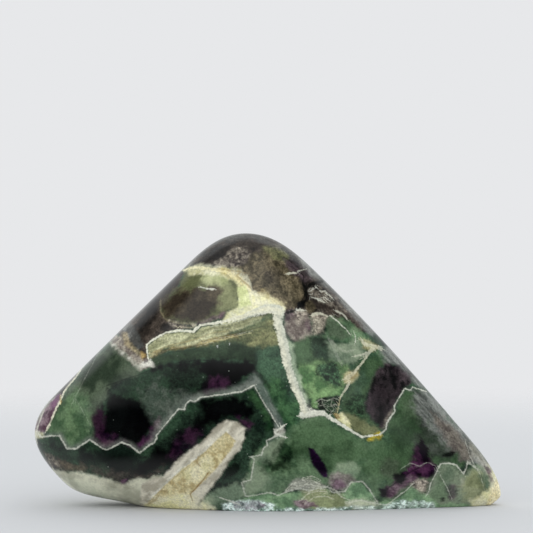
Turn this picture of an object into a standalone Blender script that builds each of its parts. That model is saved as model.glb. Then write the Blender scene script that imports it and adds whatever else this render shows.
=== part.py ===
"""A polished freeform of banded fluorite, one solid stone standing on its cut base.

Metres, +Z up. The front face looks along -Y, and the origin is the middle of the base.
"""

import math

import bmesh
import bpy
import numpy as np
from mathutils import Vector

MM = 0.001

# Half the stone's depth at its thickest, on each face.
FRONT_DEPTH = 14.6 * MM
BACK_DEPTH = 13.4 * MM

# Where the two faces are fullest, and how far the depth falls off from there.
FULLEST = (-14.0 * MM, 16.0 * MM)
TAPER_RIGHT = 0.30
TAPER_LEFT = 0.12
TAPER_UP = 0.16
RIGHT_REACH = 60.0 * MM
LEFT_REACH = 36.0 * MM
UP_REACH = 43.0 * MM

# The point that every section of the stone is drawn from.
HEART = (-7.0 * MM, 21.0 * MM)

# The outline before the base is ground, clockwise as seen from the front. Each corner has its
# place, the direction in which the outline leaves it, the reach of its curve handles and its
# fullness: 2 rounds the edge like an ellipse, and a high number makes it square.
#  name                x      z    heading   in    out  fullness
OUTLINE = (
    ("nose", -50.0, 15.4, 90.0, 3.8, 3.0, 2.8),
    ("left slope foot", -45.9, 23.4, 45.0, 3.6, 9.5, 2.9),
    ("left slope head", -16.45, 52.4, 44.0, 9.5, 5.2, 2.8),
    ("peak", -4.6, 58.4, 0.0, 4.6, 4.6, 2.6),
    ("right slope head", 8.0, 52.4, -42.5, 5.6, 13.0, 2.5),
    ("right slope foot", 39.9, 18.4, -49.8, 13.0, 5.0, 2.5),
    ("tip", 50.2, 2.4, -86.0, 5.5, 2.2, 2.5),
    ("underside right", 42.0, -2.6, -166.0, 5.0, 11.0, 2.5),
    ("underside middle", 8.0, -9.6, -180.0, 13.0, 13.0, 2.8),
    ("belly foot", -27.5, -0.3, 160.0, 10.0, 5.5, 2.5),
    ("belly", -43.4, 4.6, 137.0, 5.0, 4.0, 2.6),
)
POINTS_A_CURVE = 11
RINGS_A_FACE = 14

# The sections near the middle of a face are rounder than the outline: only its slowest waves.
ROUND_WAVES = (-2, -1, 1, 2)
ROUND_SCALE = 0.92
ROUND_POWER = 1.6

# Low swells left by hand polishing: size, wavelength along X, wavelength along Z, phase.
SWELLS = (
    (0.35 * MM, 53.0 * MM, 71.0 * MM, 0.6),
    (0.12 * MM, 29.0 * MM, -37.0 * MM, 2.1),
)

# Flats ground or broken off the stone: a point on each, its outward normal, and the width of
# the soft shoulder round it. The base is the last.
TIP_BREAKS = (
    ((49.2, -3.8, 4.5), (0.80, -0.60, -0.05), 0.6),
    ((49.4, 4.4, 5.0), (0.82, 0.56, 0.12), 0.6),
    ((49.3, 0.0, 0.9), (0.62, -0.16, -0.77), 0.4),
)
BASE = ((0.0, 0.0, 0.0), (0.0, 0.0, -1.0), 0.5)

FLUORITE_GREEN = (0.035, 0.085, 0.045, 1.0)
POLISH_ROUGHNESS = 0.08
FLUORITE_IOR = 1.434


def clear_scene():
    """Removes what the scene holds."""
    for thing in list(bpy.data.objects):
        bpy.data.objects.remove(thing)


def curve_point(start, start_handle, end_handle, end, share):
    """A point on a cubic curve, share of the way from start to end."""
    left = 1.0 - share
    return (
        start * left**3
        + start_handle * 3 * left**2 * share
        + end_handle * 3 * left * share**2
        + end * share**3
    )


def outline_points():
    """The outline's points, each (x, z, fullness), in metres."""
    points = []
    for here, there in zip(OUTLINE, OUTLINE[1:] + OUTLINE[:1]):
        _, x, z, heading, _, reach_out, fullness = here
        _, next_x, next_z, next_heading, reach_in, _, next_fullness = there
        start = Vector((x, z)) * MM
        end = Vector((next_x, next_z)) * MM
        leaving = Vector((math.cos(math.radians(heading)), math.sin(math.radians(heading))))
        arriving = Vector((math.cos(math.radians(next_heading)), math.sin(math.radians(next_heading))))
        for step in range(POINTS_A_CURVE):
            share = step / POINTS_A_CURVE
            point = curve_point(
                start, start + leaving * reach_out * MM, end - arriving * reach_in * MM, end, share
            )
            blend = share * share * (3 - 2 * share)
            points.append((point.x, point.y, fullness + (next_fullness - fullness) * blend))
    return points


def rounded_ring(rim):
    """The outline without its corners, as an offset from the heart for each of its points."""
    places = np.array([complex(x, z) for x, z, _ in rim])
    steps = np.abs(np.roll(places, -1) - places)
    turns = math.tau * (np.cumsum(steps) - steps) / steps.sum()
    weights = (steps + np.roll(steps, 1)) / 2 / steps.sum()
    ring = np.zeros(len(places), complex)
    for wave in ROUND_WAVES:
        strength = (places * np.exp(-1j * wave * turns) * weights).sum()
        ring += strength * np.exp(1j * wave * turns)
    return ring * ROUND_SCALE


def depth_share(x, z):
    """How much of the full depth the stone has at a place on its face."""
    across = x - FULLEST[0]
    if across > 0:
        fall = TAPER_RIGHT * (across / RIGHT_REACH) ** 2
    else:
        fall = TAPER_LEFT * (across / LEFT_REACH) ** 2
    rise = max(0.0, z - FULLEST[1]) / UP_REACH
    return 1.0 - fall - TAPER_UP * rise**2


def swell(x, z):
    """The height of the low swells at a place on a face."""
    return sum(
        size * math.sin(math.tau * (x / along_x + z / along_z) + phase)
        for size, along_x, along_z, phase in SWELLS
    )


def shave(point, flat):
    """Moves a point that stands outside a flat back to it, with a soft shoulder."""
    foot, normal, shoulder = flat
    normal = Vector(normal).normalized()
    soft = shoulder * MM
    out = (point - Vector(foot) * MM).dot(normal)
    if out <= -soft:
        return point
    kept = 0.0 if out >= soft else -((soft - out) ** 2) / (4 * soft)
    return point + normal * (kept - out)


def stone_point(rim_point, round_offset, turn, depth, side):
    """A point of the surface, turn from 0 at the middle of a face to a quarter turn at the rim."""
    rim_x, rim_z, fullness = rim_point
    reach = math.sin(turn) ** (2.0 / fullness)
    blend = reach**ROUND_POWER
    x = HEART[0] + reach * (round_offset.real * (1 - blend) + (rim_x - HEART[0]) * blend)
    z = HEART[1] + reach * (round_offset.imag * (1 - blend) + (rim_z - HEART[1]) * blend)
    lift = math.cos(turn)
    thick = depth * depth_share(x, z) + swell(x, z)
    point = Vector((x, side * thick * lift, z))
    for flat in (*TIP_BREAKS, BASE):
        point = shave(point, flat)
    return point


def stone_mesh():
    """The stone's closed mesh, rings of faces from the middle of the front to the middle of the back."""
    rim = outline_points()
    places = list(zip(rim, rounded_ring(rim)))
    quarter = math.pi / 2
    faces = [(-1, FRONT_DEPTH, step / RINGS_A_FACE) for step in range(1, RINGS_A_FACE + 1)]
    faces += [(1, BACK_DEPTH, 1 - step / RINGS_A_FACE) for step in range(1, RINGS_A_FACE)]
    shape = bmesh.new()
    rings = [
        [
            shape.verts.new(stone_point(point, offset, share * quarter, depth, side))
            for point, offset in places
        ]
        for side, depth, share in faces
    ]
    front = shape.verts.new(stone_point(*places[0], 0.0, FRONT_DEPTH, -1))
    back = shape.verts.new(stone_point(*places[0], 0.0, BACK_DEPTH, 1))
    count = len(rim)
    for index in range(count):
        following = (index + 1) % count
        shape.faces.new((front, rings[0][index], rings[0][following]))
        shape.faces.new((back, rings[-1][following], rings[-1][index]))
        for inner, outer in zip(rings, rings[1:]):
            shape.faces.new((inner[index], outer[index], outer[following], inner[following]))
    bmesh.ops.triangulate(shape, faces=shape.faces)
    bmesh.ops.recalc_face_normals(shape, faces=shape.faces)
    mesh = bpy.data.meshes.new("fluorite_freeform")
    shape.to_mesh(mesh)
    shape.free()
    return mesh


def centre_on_base(mesh):
    """Moves the mesh so that the origin is under the middle of its box, on the base."""
    for axis in (0, 1):
        places = [vertex.co[axis] for vertex in mesh.vertices]
        middle = (min(places) + max(places)) / 2
        for vertex in mesh.vertices:
            vertex.co[axis] -= middle


def fluorite():
    """The polished fluorite's plain material."""
    material = bpy.data.materials.new("polished_fluorite")
    material.use_nodes = True
    shader = material.node_tree.nodes["Principled BSDF"]
    shader.inputs["Base Color"].default_value = FLUORITE_GREEN
    shader.inputs["Roughness"].default_value = POLISH_ROUGHNESS
    shader.inputs["Metallic"].default_value = 0.0
    shader.inputs["IOR"].default_value = FLUORITE_IOR
    material.diffuse_color = FLUORITE_GREEN
    return material


def main():
    """Builds the stone."""
    clear_scene()
    mesh = stone_mesh()
    centre_on_base(mesh)
    mesh.shade_smooth()
    mesh.materials.append(fluorite())
    stone = bpy.data.objects.new("fluorite_freeform", mesh)
    bpy.context.scene.collection.objects.link(stone)


main()
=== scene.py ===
"""A polished freeform of banded fluorite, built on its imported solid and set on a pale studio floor.

The stone is one finely meshed piece. Its veins and colour zones are laid out in picture units, 533
across the level front view, and carried into the stone as slightly tilted, wandering sheets, so the
back and the sides show the same growth bands. Lengths are in millimetres, and the studio's in metres.
"""

from __future__ import annotations

import logging
import math
from dataclasses import dataclass, field
from enum import Enum
from typing import Any, Iterable, Sequence

import bpy
import numpy as np
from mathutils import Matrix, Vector

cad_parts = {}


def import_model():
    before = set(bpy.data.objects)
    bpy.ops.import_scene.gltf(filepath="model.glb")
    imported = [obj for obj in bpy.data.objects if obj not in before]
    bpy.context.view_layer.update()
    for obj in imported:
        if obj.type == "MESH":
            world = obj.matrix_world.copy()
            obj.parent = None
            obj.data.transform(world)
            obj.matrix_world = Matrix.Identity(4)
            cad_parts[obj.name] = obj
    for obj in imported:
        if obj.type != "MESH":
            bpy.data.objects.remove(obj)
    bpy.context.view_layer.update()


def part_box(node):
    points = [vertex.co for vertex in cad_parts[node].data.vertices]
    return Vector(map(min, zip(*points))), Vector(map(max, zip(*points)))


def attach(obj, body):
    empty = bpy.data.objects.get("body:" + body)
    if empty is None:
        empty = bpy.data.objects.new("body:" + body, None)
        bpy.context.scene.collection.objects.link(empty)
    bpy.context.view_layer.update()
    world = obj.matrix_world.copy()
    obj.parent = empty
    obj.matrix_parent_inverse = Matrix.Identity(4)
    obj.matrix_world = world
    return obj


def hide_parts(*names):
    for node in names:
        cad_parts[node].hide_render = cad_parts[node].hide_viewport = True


LOG = logging.getLogger("fluorite")
MM = 0.001
DEGREES = 180.0 / math.pi
TINY = 1e-9
CAD_NODE = "fluorite_freeform"
Colour = tuple[float, float, float]
Point = tuple[float, float]


def srgb(red: float, green: float, blue: float) -> tuple[float, float, float, float]:
    """A display colour, 0 to 255, as linear light with full alpha."""
    shares = [value / 255.0 for value in (red, green, blue)]
    linear = [s / 12.92 if s <= 0.04045 else ((s + 0.055) / 1.055) ** 2.4 for s in shares]
    return (linear[0], linear[1], linear[2], 1.0)


def ease(share: Any) -> Any:
    """A share from 0 to 1, or an array of them, eased at both ends."""
    return share * share * (3.0 - 2.0 * share)


def smooth_step(values: np.ndarray, low: float, high: float) -> np.ndarray:
    """Values eased from 0 at low to 1 at high."""
    return ease(np.clip((values - low) / (high - low), 0.0, 1.0))


@dataclass(frozen=True)
class LevelView:
    """The level camera in front of the stone.

    Args:
        across: the picture's width and height, in its own units.
        place: the camera's place, in millimetres.
        reach: the focal length, in picture units.
        sensor: the sensor's width, in millimetres.
    """

    across: float = 533.0
    place: tuple[float, float, float] = (-0.27, -400.0, 51.24)
    reach: float = 1862.0
    sensor: float = 36.0

    def picture_places(self, points: np.ndarray) -> np.ndarray:
        """Where points of the stone fall in the picture.

        Args:
            points: places in millimetres, one row each.

        Returns:
            Their columns and rows, in picture units from the top left corner.
        """
        scale = self.reach / (points[:, 1] - self.place[1])
        columns = self.across / 2 + (points[:, 0] - self.place[0]) * scale
        rows = self.across / 2 - (points[:, 2] - self.place[2]) * scale
        return np.stack([columns, rows], axis=1)

    def build(self) -> None:
        """Makes the camera and sets it as the scene's own."""
        data = bpy.data.cameras.new("level_view")
        data.sensor_width = self.sensor
        data.lens = self.reach * self.sensor / self.across
        camera = bpy.data.objects.new("level_view", data)
        camera.location = Vector(self.place) * MM
        camera.rotation_euler = (math.pi / 2, 0.0, 0.0)
        bpy.context.scene.collection.objects.link(camera)
        bpy.context.scene.camera = camera


class SmoothNoise:
    """Seeded value noise in three dimensions, from 0 to 1.

    CELLS is the lattice's size along each axis. From layer to layer the places turn by TURN and
    move by SHIFT, and SPREAD widens the sum of the layers about its middle.
    """

    CELLS = 32
    SHIFT = 17.3
    SPREAD = 1.5
    TURN = np.array(((0.00, 0.80, 0.60), (-0.80, 0.36, -0.48), (-0.60, -0.48, 0.64)))

    def __init__(self, seed: int) -> None:
        """Draws the lattice's values."""
        self.values = np.random.default_rng(seed).uniform(0.0, 1.0, (self.CELLS,) * 3)

    def at(self, points: np.ndarray, size: float) -> np.ndarray:
        """The noise at some points.

        Args:
            points: places, one row of three each.
            size: the length of one cell, in the points' own unit.

        Returns:
            One value for each point.
        """
        places = points / size
        floor = np.floor(places)
        share = ease(places - floor)
        low = floor.astype(np.int64) % self.CELLS
        high = (low + 1) % self.CELLS
        total = np.zeros(len(points))
        for corner in range(8):
            pick = [(corner >> axis) & 1 for axis in range(3)]
            index = [high[:, axis] if pick[axis] else low[:, axis] for axis in range(3)]
            weight = np.ones(len(points))
            for axis in range(3):
                weight = weight * (share[:, axis] if pick[axis] else 1.0 - share[:, axis])
            total += weight * self.values[index[0], index[1], index[2]]
        return total

    def layered(self, points: np.ndarray, size: float, layers: int, keep: float = 0.6) -> np.ndarray:
        """Noise in layers, each turned and half the size of the one before.

        Args:
            points: places, one row of three each.
            size: the first layer's cell.
            layers: how many there are.
            keep: the strength of a layer beside the one before.

        Returns:
            One value for each point, from 0 to 1 about 0.5.
        """
        total, strength, weight, places = np.zeros(len(points)), 0.0, 1.0, points
        for _ in range(layers):
            total += weight * self.at(places, size)
            strength += weight
            weight *= keep
            size *= 0.5
            places = places @ self.TURN + self.SHIFT
        return 0.5 + (total / strength - 0.5) * self.SPREAD


@dataclass(frozen=True)
class Corner:
    """A corner of the stone's outline.

    Args:
        name: what the corner is.
        x: its place across.
        z: its place upwards.
        heading: the direction in which the outline leaves it, in degrees.
        reach_in: the curve handle before it.
        reach_out: the curve handle after it.
        fullness: how square the edge is there, 2 for an ellipse.
    """

    name: str
    x: float
    z: float
    heading: float
    reach_in: float
    reach_out: float
    fullness: float

    def direction(self) -> complex:
        """The heading as a unit number."""
        turn = math.radians(self.heading)
        return complex(math.cos(turn), math.sin(turn))


@dataclass(frozen=True)
class Flat:
    """A flat ground or broken off the stone, with a soft shoulder round it."""

    foot: tuple[float, float, float]
    normal: tuple[float, float, float]
    shoulder: float

    def shave(self, points: np.ndarray) -> np.ndarray:
        """Moves the points that stand outside the flat back to it."""
        normal = np.array(self.normal) / np.linalg.norm(self.normal)
        out = (points - np.array(self.foot)) @ normal
        soft = self.shoulder
        kept = np.where(out >= soft, 0.0, -((soft - out) ** 2) / (4 * soft))
        kept = np.where(out <= -soft, out, kept)
        return points + (kept - out)[:, None] * normal


@dataclass
class StoneForm:
    """The stone's shape, by the same rule and sizes as its solid, finely meshed.

    Each face's depth falls off from the fullest point by the tapers, each at its own reach. The
    sections are drawn from the heart: near it they are the outline's slow waves, and towards the
    rim the outline itself. The corners run clockwise as seen from the front. A swell is its size,
    its waves across and up, and its phase, and the last flat is the ground base.
    """

    front_depth: float = 14.6
    back_depth: float = 13.4
    fullest: Point = (-14.0, 16.0)
    taper_right: float = 0.30
    taper_left: float = 0.12
    taper_up: float = 0.16
    right_reach: float = 60.0
    left_reach: float = 36.0
    up_reach: float = 43.0
    heart: Point = (-7.0, 21.0)
    round_waves: tuple[int, ...] = (-2, -1, 1, 2)
    round_scale: float = 0.92
    round_power: float = 1.6
    front_spacing: float = 0.285
    back_spacing: float = 0.56
    points_a_curve: int = 60
    fewest_points: int = 12
    middling_reach: float = 0.9
    middling_fullness: float = 2.7
    samples: int = 4000
    pole_turn: float = 1e-6
    corners: tuple[Corner, ...] = (
        Corner("nose", -50.0, 15.4, 90.0, 3.8, 3.0, 2.8),
        Corner("left slope foot", -45.9, 23.4, 45.0, 3.6, 9.5, 2.9),
        Corner("left slope head", -16.45, 52.4, 44.0, 9.5, 5.2, 2.8),
        Corner("peak", -4.6, 58.4, 0.0, 4.6, 4.6, 2.6),
        Corner("right slope head", 8.0, 52.4, -42.5, 5.6, 13.0, 2.5),
        Corner("right slope foot", 39.9, 18.4, -49.8, 13.0, 5.0, 2.5),
        Corner("tip", 50.2, 2.4, -86.0, 5.5, 2.2, 2.5),
        Corner("underside right", 42.0, -2.6, -166.0, 5.0, 11.0, 2.5),
        Corner("underside middle", 8.0, -9.6, -180.0, 13.0, 13.0, 2.8),
        Corner("belly foot", -27.5, -0.3, 160.0, 10.0, 5.5, 2.5),
        Corner("belly", -43.4, 4.6, 137.0, 5.0, 4.0, 2.6),
    )
    swells: tuple[tuple[float, float, float, float], ...] = (
        (0.35, 53.0, 71.0, 0.6),
        (0.12, 29.0, -37.0, 2.1),
    )
    flats: tuple[Flat, ...] = (
        Flat((49.2, -3.8, 4.5), (0.80, -0.60, -0.05), 0.6),
        Flat((49.4, 4.4, 5.0), (0.82, 0.56, 0.12), 0.6),
        Flat((49.3, 0.0, 0.9), (0.62, -0.16, -0.77), 0.4),
        Flat((0.0, 0.0, 0.0), (0.0, 0.0, -1.0), 0.5),
    )
    rim: np.ndarray = field(init=False)
    fullness: np.ndarray = field(init=False)
    offsets: np.ndarray = field(init=False)
    shares: np.ndarray = field(init=False)
    around: float = field(init=False)

    def __post_init__(self) -> None:
        """Works out the outline, its rounded core and the share of the way round of each point."""
        places: list[complex] = []
        fullness: list[float] = []
        for here, there in zip(self.corners, self.corners[1:] + self.corners[:1]):
            start, end = complex(here.x, here.z), complex(there.x, there.z)
            leave = start + here.direction() * here.reach_out
            arrive = end - there.direction() * there.reach_in
            for step in range(self.points_a_curve):
                share = step / self.points_a_curve
                left = 1.0 - share
                places.append(
                    start * left**3
                    + leave * 3 * left**2 * share
                    + arrive * 3 * left * share**2
                    + end * share**3
                )
                fullness.append(here.fullness + (there.fullness - here.fullness) * ease(share))
        self.rim = np.array(places)
        self.fullness = np.array(fullness)
        steps = np.abs(np.roll(self.rim, -1) - self.rim)
        self.around = float(steps.sum())
        self.shares = (np.cumsum(steps) - steps) / self.around
        weights = (steps + np.roll(steps, 1)) / 2 / self.around
        turns = math.tau * self.shares
        ring = np.zeros(len(self.rim), complex)
        for wave in self.round_waves:
            strength = (self.rim * np.exp(-1j * wave * turns) * weights).sum()
            ring += strength * np.exp(1j * wave * turns)
        self.offsets = ring * self.round_scale

    def _round_the_rim(self, values: np.ndarray, shares: np.ndarray) -> np.ndarray:
        """A value kept for the outline's points, read at other shares of the way round."""
        return np.interp(shares, self.shares, values, period=1.0)

    def ring(self, shares: np.ndarray, turn: float, side: int) -> np.ndarray:
        """One ring of the surface.

        Args:
            shares: the shares of the way round at which its points stand.
            turn: 0 at the middle of a face, a quarter turn at the rim.
            side: -1 on the front, 1 on the back.

        Returns:
            Its points, one row each.
        """
        full = self._round_the_rim(self.fullness, shares)
        rim = self._round_the_rim(self.rim, shares) - complex(*self.heart)
        core = self._round_the_rim(self.offsets, shares)
        reach = math.sin(turn) ** (2.0 / full)
        blend = reach**self.round_power
        place = complex(*self.heart) + reach * (core * (1 - blend) + rim * blend)
        depth = self.front_depth if side < 0 else self.back_depth
        thick = depth * self.depth_share(place) + self.swell(place)
        points = np.stack([place.real, side * thick * math.cos(turn), place.imag], axis=1)
        for flat in self.flats:
            points = flat.shave(points)
        return points

    def depth_share(self, place: np.ndarray) -> np.ndarray:
        """How much of the full depth the stone has at places on its face."""
        across = place.real - self.fullest[0]
        right = self.taper_right * (across / self.right_reach) ** 2
        left = self.taper_left * (across / self.left_reach) ** 2
        rise = np.maximum(0.0, place.imag - self.fullest[1]) / self.up_reach
        return 1.0 - np.where(across > 0, right, left) - self.taper_up * rise**2

    def swell(self, place: np.ndarray) -> np.ndarray:
        """The height of the low swells that hand polishing leaves."""
        total = np.zeros(len(place))
        for size, along_x, along_z, phase in self.swells:
            wave = math.tau * (place.real / along_x + place.imag / along_z) + phase
            total += size * np.sin(wave)
        return total

    def turns(self, depth: float, spacing: float) -> list[float]:
        """The turns at which rings stand evenly spaced over a middling section."""
        reach = 0.5 * self.around / math.pi * self.middling_reach
        fine = np.linspace(0.0, math.pi / 2, self.samples)
        section = reach * np.sin(fine) ** (2 / self.middling_fullness) + 1j * depth * np.cos(fine)
        length = np.concatenate([[0.0], np.cumsum(np.abs(np.diff(section)))])
        count = int(round(length[-1] / spacing))
        wanted = np.linspace(0.0, length[-1], count + 1)[1:]
        return list(np.interp(wanted, length, fine))

    def surface(self) -> tuple[np.ndarray, np.ndarray]:
        """The closed surface.

        Returns:
            Its points, and its triangles as rows of three indices that face outwards.
        """
        front_turns = self.turns(self.front_depth, self.front_spacing)
        back_turns = self.turns(self.back_depth, self.back_spacing)
        front = [(-1, turn, self.front_spacing) for turn in front_turns]
        back = [(1, turn, self.back_spacing) for turn in back_turns]
        rings, starts, counts, total = [], [], [], 0
        for side, turn, spacing in front + back[-2::-1]:
            size = self.around * math.sin(turn) ** (2 / self.middling_fullness)
            count = max(self.fewest_points, int(round(size / spacing)))
            shares = (np.arange(count) + 0.5 * (len(rings) % 2)) / count
            rings.append(self.ring(shares % 1.0, turn, side))
            starts.append(total)
            counts.append(count)
            total += count
        poles = [self.ring(np.zeros(1), self.pole_turn, side) for side in (-1, 1)]
        points = np.concatenate(rings + poles)
        faces: list[tuple[int, int, int]] = []
        for index in range(len(rings) - 1):
            faces += self._zip(starts[index], counts[index], starts[index + 1], counts[index + 1])
        for step in range(counts[0]):
            faces.append((total, starts[0] + step, starts[0] + (step + 1) % counts[0]))
        for step in range(counts[-1]):
            last = starts[-1]
            faces.append((total + 1, last + (step + 1) % counts[-1], last + step))
        return points, np.array(faces)[:, ::-1]

    @staticmethod
    def _zip(start: int, count: int, next_start: int, next_count: int) -> list[tuple[int, int, int]]:
        """The triangles between two rings that may differ in count."""
        faces = []
        here = there = 0
        while here < count or there < next_count:
            first, second = start + here % count, next_start + there % next_count
            if there >= next_count or (here < count and (here + 1) / count <= (there + 1) / next_count):
                here += 1
                third = start + here % count
            else:
                there += 1
                third = next_start + there % next_count
            faces.append((first, second, third))
        return faces


class Figure(Enum):
    """The kinds of figure in a mineral: the cell's size in millimetres, layers and stretch."""

    CLOUD = (6.5, 4, 1.0)
    MOTTLE = (2.4, 4, 1.0)
    GRAIN = (1.1, 3, 1.0)
    STREAK = (1.3, 4, 4.5)


@dataclass(frozen=True)
class Look:
    """How a mineral looks.

    Args:
        dark: its darker colour, as display values.
        light: its lighter colour.
        figure: the figure that runs from dark to light.
        grain: the strength of the finest grain.
        dust: how many pale specks it holds, up to 1.
        raw: how rough it was left, 0 for the polish.
    """

    dark: Colour
    light: Colour
    figure: Figure = Figure.CLOUD
    grain: float = 0.15
    dust: float = 0.0
    raw: float = 0.0


class Mineral(Enum):
    """The kinds of stone that the zones are made of."""

    DEEP_GREEN = Look((22, 36, 28), (54, 78, 58), Figure.CLOUD, 0.45, 0.6)
    FERN = Look((46, 57, 44), (84, 96, 77), Figure.CLOUD, 0.3, 0.3)
    FOREST = Look((20, 48, 25), (58, 90, 56), Figure.MOTTLE, 0.35, 0.4)
    MOSS_GREEN = Look((46, 68, 43), (80, 106, 74), Figure.CLOUD, 0.3, 0.3)
    LEAF_GREEN = Look((70, 94, 68), (104, 128, 96), Figure.MOTTLE, 0.25, 0.2)
    FRESH_GREEN = Look((74, 108, 66), (124, 156, 104), Figure.MOTTLE, 0.35)
    SAGE = Look((94, 110, 90), (136, 148, 124), Figure.CLOUD, 0.2, 0.2)
    TEAL = Look((34, 54, 44), (72, 96, 80), Figure.MOTTLE, 0.35, 0.5)
    LACE = Look((6, 34, 16), (70, 104, 72), Figure.GRAIN, 0.7, 0.5)
    BOTTLE = Look((10, 18, 13), (36, 52, 40), Figure.MOTTLE, 0.5, 0.6)
    NIGHT = Look((0, 0, 1), (6, 8, 8), Figure.CLOUD, 0.3, 0.6)
    NIGHT_VIOLET = Look((20, 6, 28), (52, 18, 62), Figure.MOTTLE, 0.2)
    PLUM = Look((20, 15, 19), (66, 56, 60), Figure.STREAK, 0.4, 0.2)
    VIOLET = Look((32, 8, 36), (88, 50, 80), Figure.MOTTLE, 0.4)
    LILAC = Look((106, 78, 92), (166, 142, 150), Figure.GRAIN, 0.35)
    LAVENDER = Look((100, 90, 84), (146, 138, 126), Figure.GRAIN, 0.4)
    SLATE = Look((58, 60, 58), (108, 110, 106), Figure.STREAK, 0.35, 0.3)
    UMBER = Look((34, 31, 28), (72, 64, 57), Figure.MOTTLE, 0.5, 0.4)
    SMOKE = Look((60, 52, 42), (98, 88, 70), Figure.CLOUD, 0.4, 0.5)
    KHAKI = Look((72, 66, 50), (114, 104, 82), Figure.GRAIN, 0.5, 0.2)
    MOSS = Look((74, 80, 52), (122, 122, 84), Figure.STREAK, 0.45, 0.2)
    PEAR = Look((104, 108, 74), (150, 154, 112), Figure.CLOUD, 0.25, 0.2)
    OLIVE = Look((122, 124, 90), (172, 172, 136), Figure.STREAK, 0.45)
    CRUMB = Look((66, 58, 54), (168, 158, 142), Figure.GRAIN, 0.6, 0.6)
    OCHRE = Look((118, 88, 40), (190, 156, 78), Figure.MOTTLE, 0.4)
    AMBER = Look((150, 124, 44), (232, 204, 104), Figure.GRAIN, 0.3)
    GOLD = Look((158, 140, 30), (232, 208, 72), Figure.GRAIN, 0.3)
    TAN = Look((170, 154, 110), (210, 200, 158), Figure.GRAIN, 0.3)
    CREAM = Look((208, 204, 156), (246, 242, 210), Figure.MOTTLE, 0.25)
    PISTACHIO = Look((178, 186, 130), (214, 218, 166), Figure.MOTTLE, 0.2)
    MILK = Look((150, 150, 132), (188, 188, 168), Figure.CLOUD, 0.08)
    PALE_RIM = Look((156, 150, 134), (202, 197, 180), Figure.STREAK, 0.1)
    CHALK = Look((156, 154, 140), (208, 206, 194), Figure.STREAK, 0.3)
    SILVER = Look((104, 116, 108), (152, 160, 150), Figure.STREAK, 0.2)
    HAZE = Look((104, 112, 104), (150, 154, 144), Figure.MOTTLE, 0.2)
    RAW_CREAM = Look((190, 176, 130), (228, 218, 180), Figure.GRAIN, 0.4, 0.0, 1.0)
    # Raw chips, partly painted glints: the near-white light colour stands in for light sparkling on them.
    RAW_CHIP_AND_GLINT = Look((70, 88, 80), (214, 226, 222), Figure.GRAIN, 0.6, 0.0, 0.5)


@dataclass(frozen=True)
class Zone:
    """A patch of one mineral.

    Args:
        name: what the patch is.
        mineral: its kind.
        outline: its corners, in picture units.
        feather: how far its edge fades, in picture units.
        share: how much of the mineral it holds, up to 1.
        shade: how light it is, as a share of its mineral's own; above 1 near the base, partly painted
            light.
        wander: how far its edge strays from the corners' lines, in picture units.
        lean: the direction of its streaks, in degrees up from the level.
    """

    name: str
    mineral: Mineral
    outline: tuple[Point, ...]
    feather: float = 3.0
    share: float = 1.0
    shade: float = 1.0
    wander: float = 2.0
    lean: float = 19.0


@dataclass(frozen=True)
class Vein:
    """A thin vein, a line with a width.

    Args:
        name: what the vein is.
        path: its points, in picture units.
        width: its width at the start and at the end, in picture units.
        tone: 0 for white, 1 for yellow cream, 2 for ochre and -1 for a dark crack.
        strength: how opaque it is.
        halo: the reach of the pale haze along it, in picture units.
        haze: how strong that haze is.
    """

    name: str
    path: tuple[Point, ...]
    width: Point = (1.6, 1.6)
    tone: float = 0.0
    strength: float = 1.0
    halo: float = 0.0
    haze: float = 0.0


M = Mineral
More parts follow.
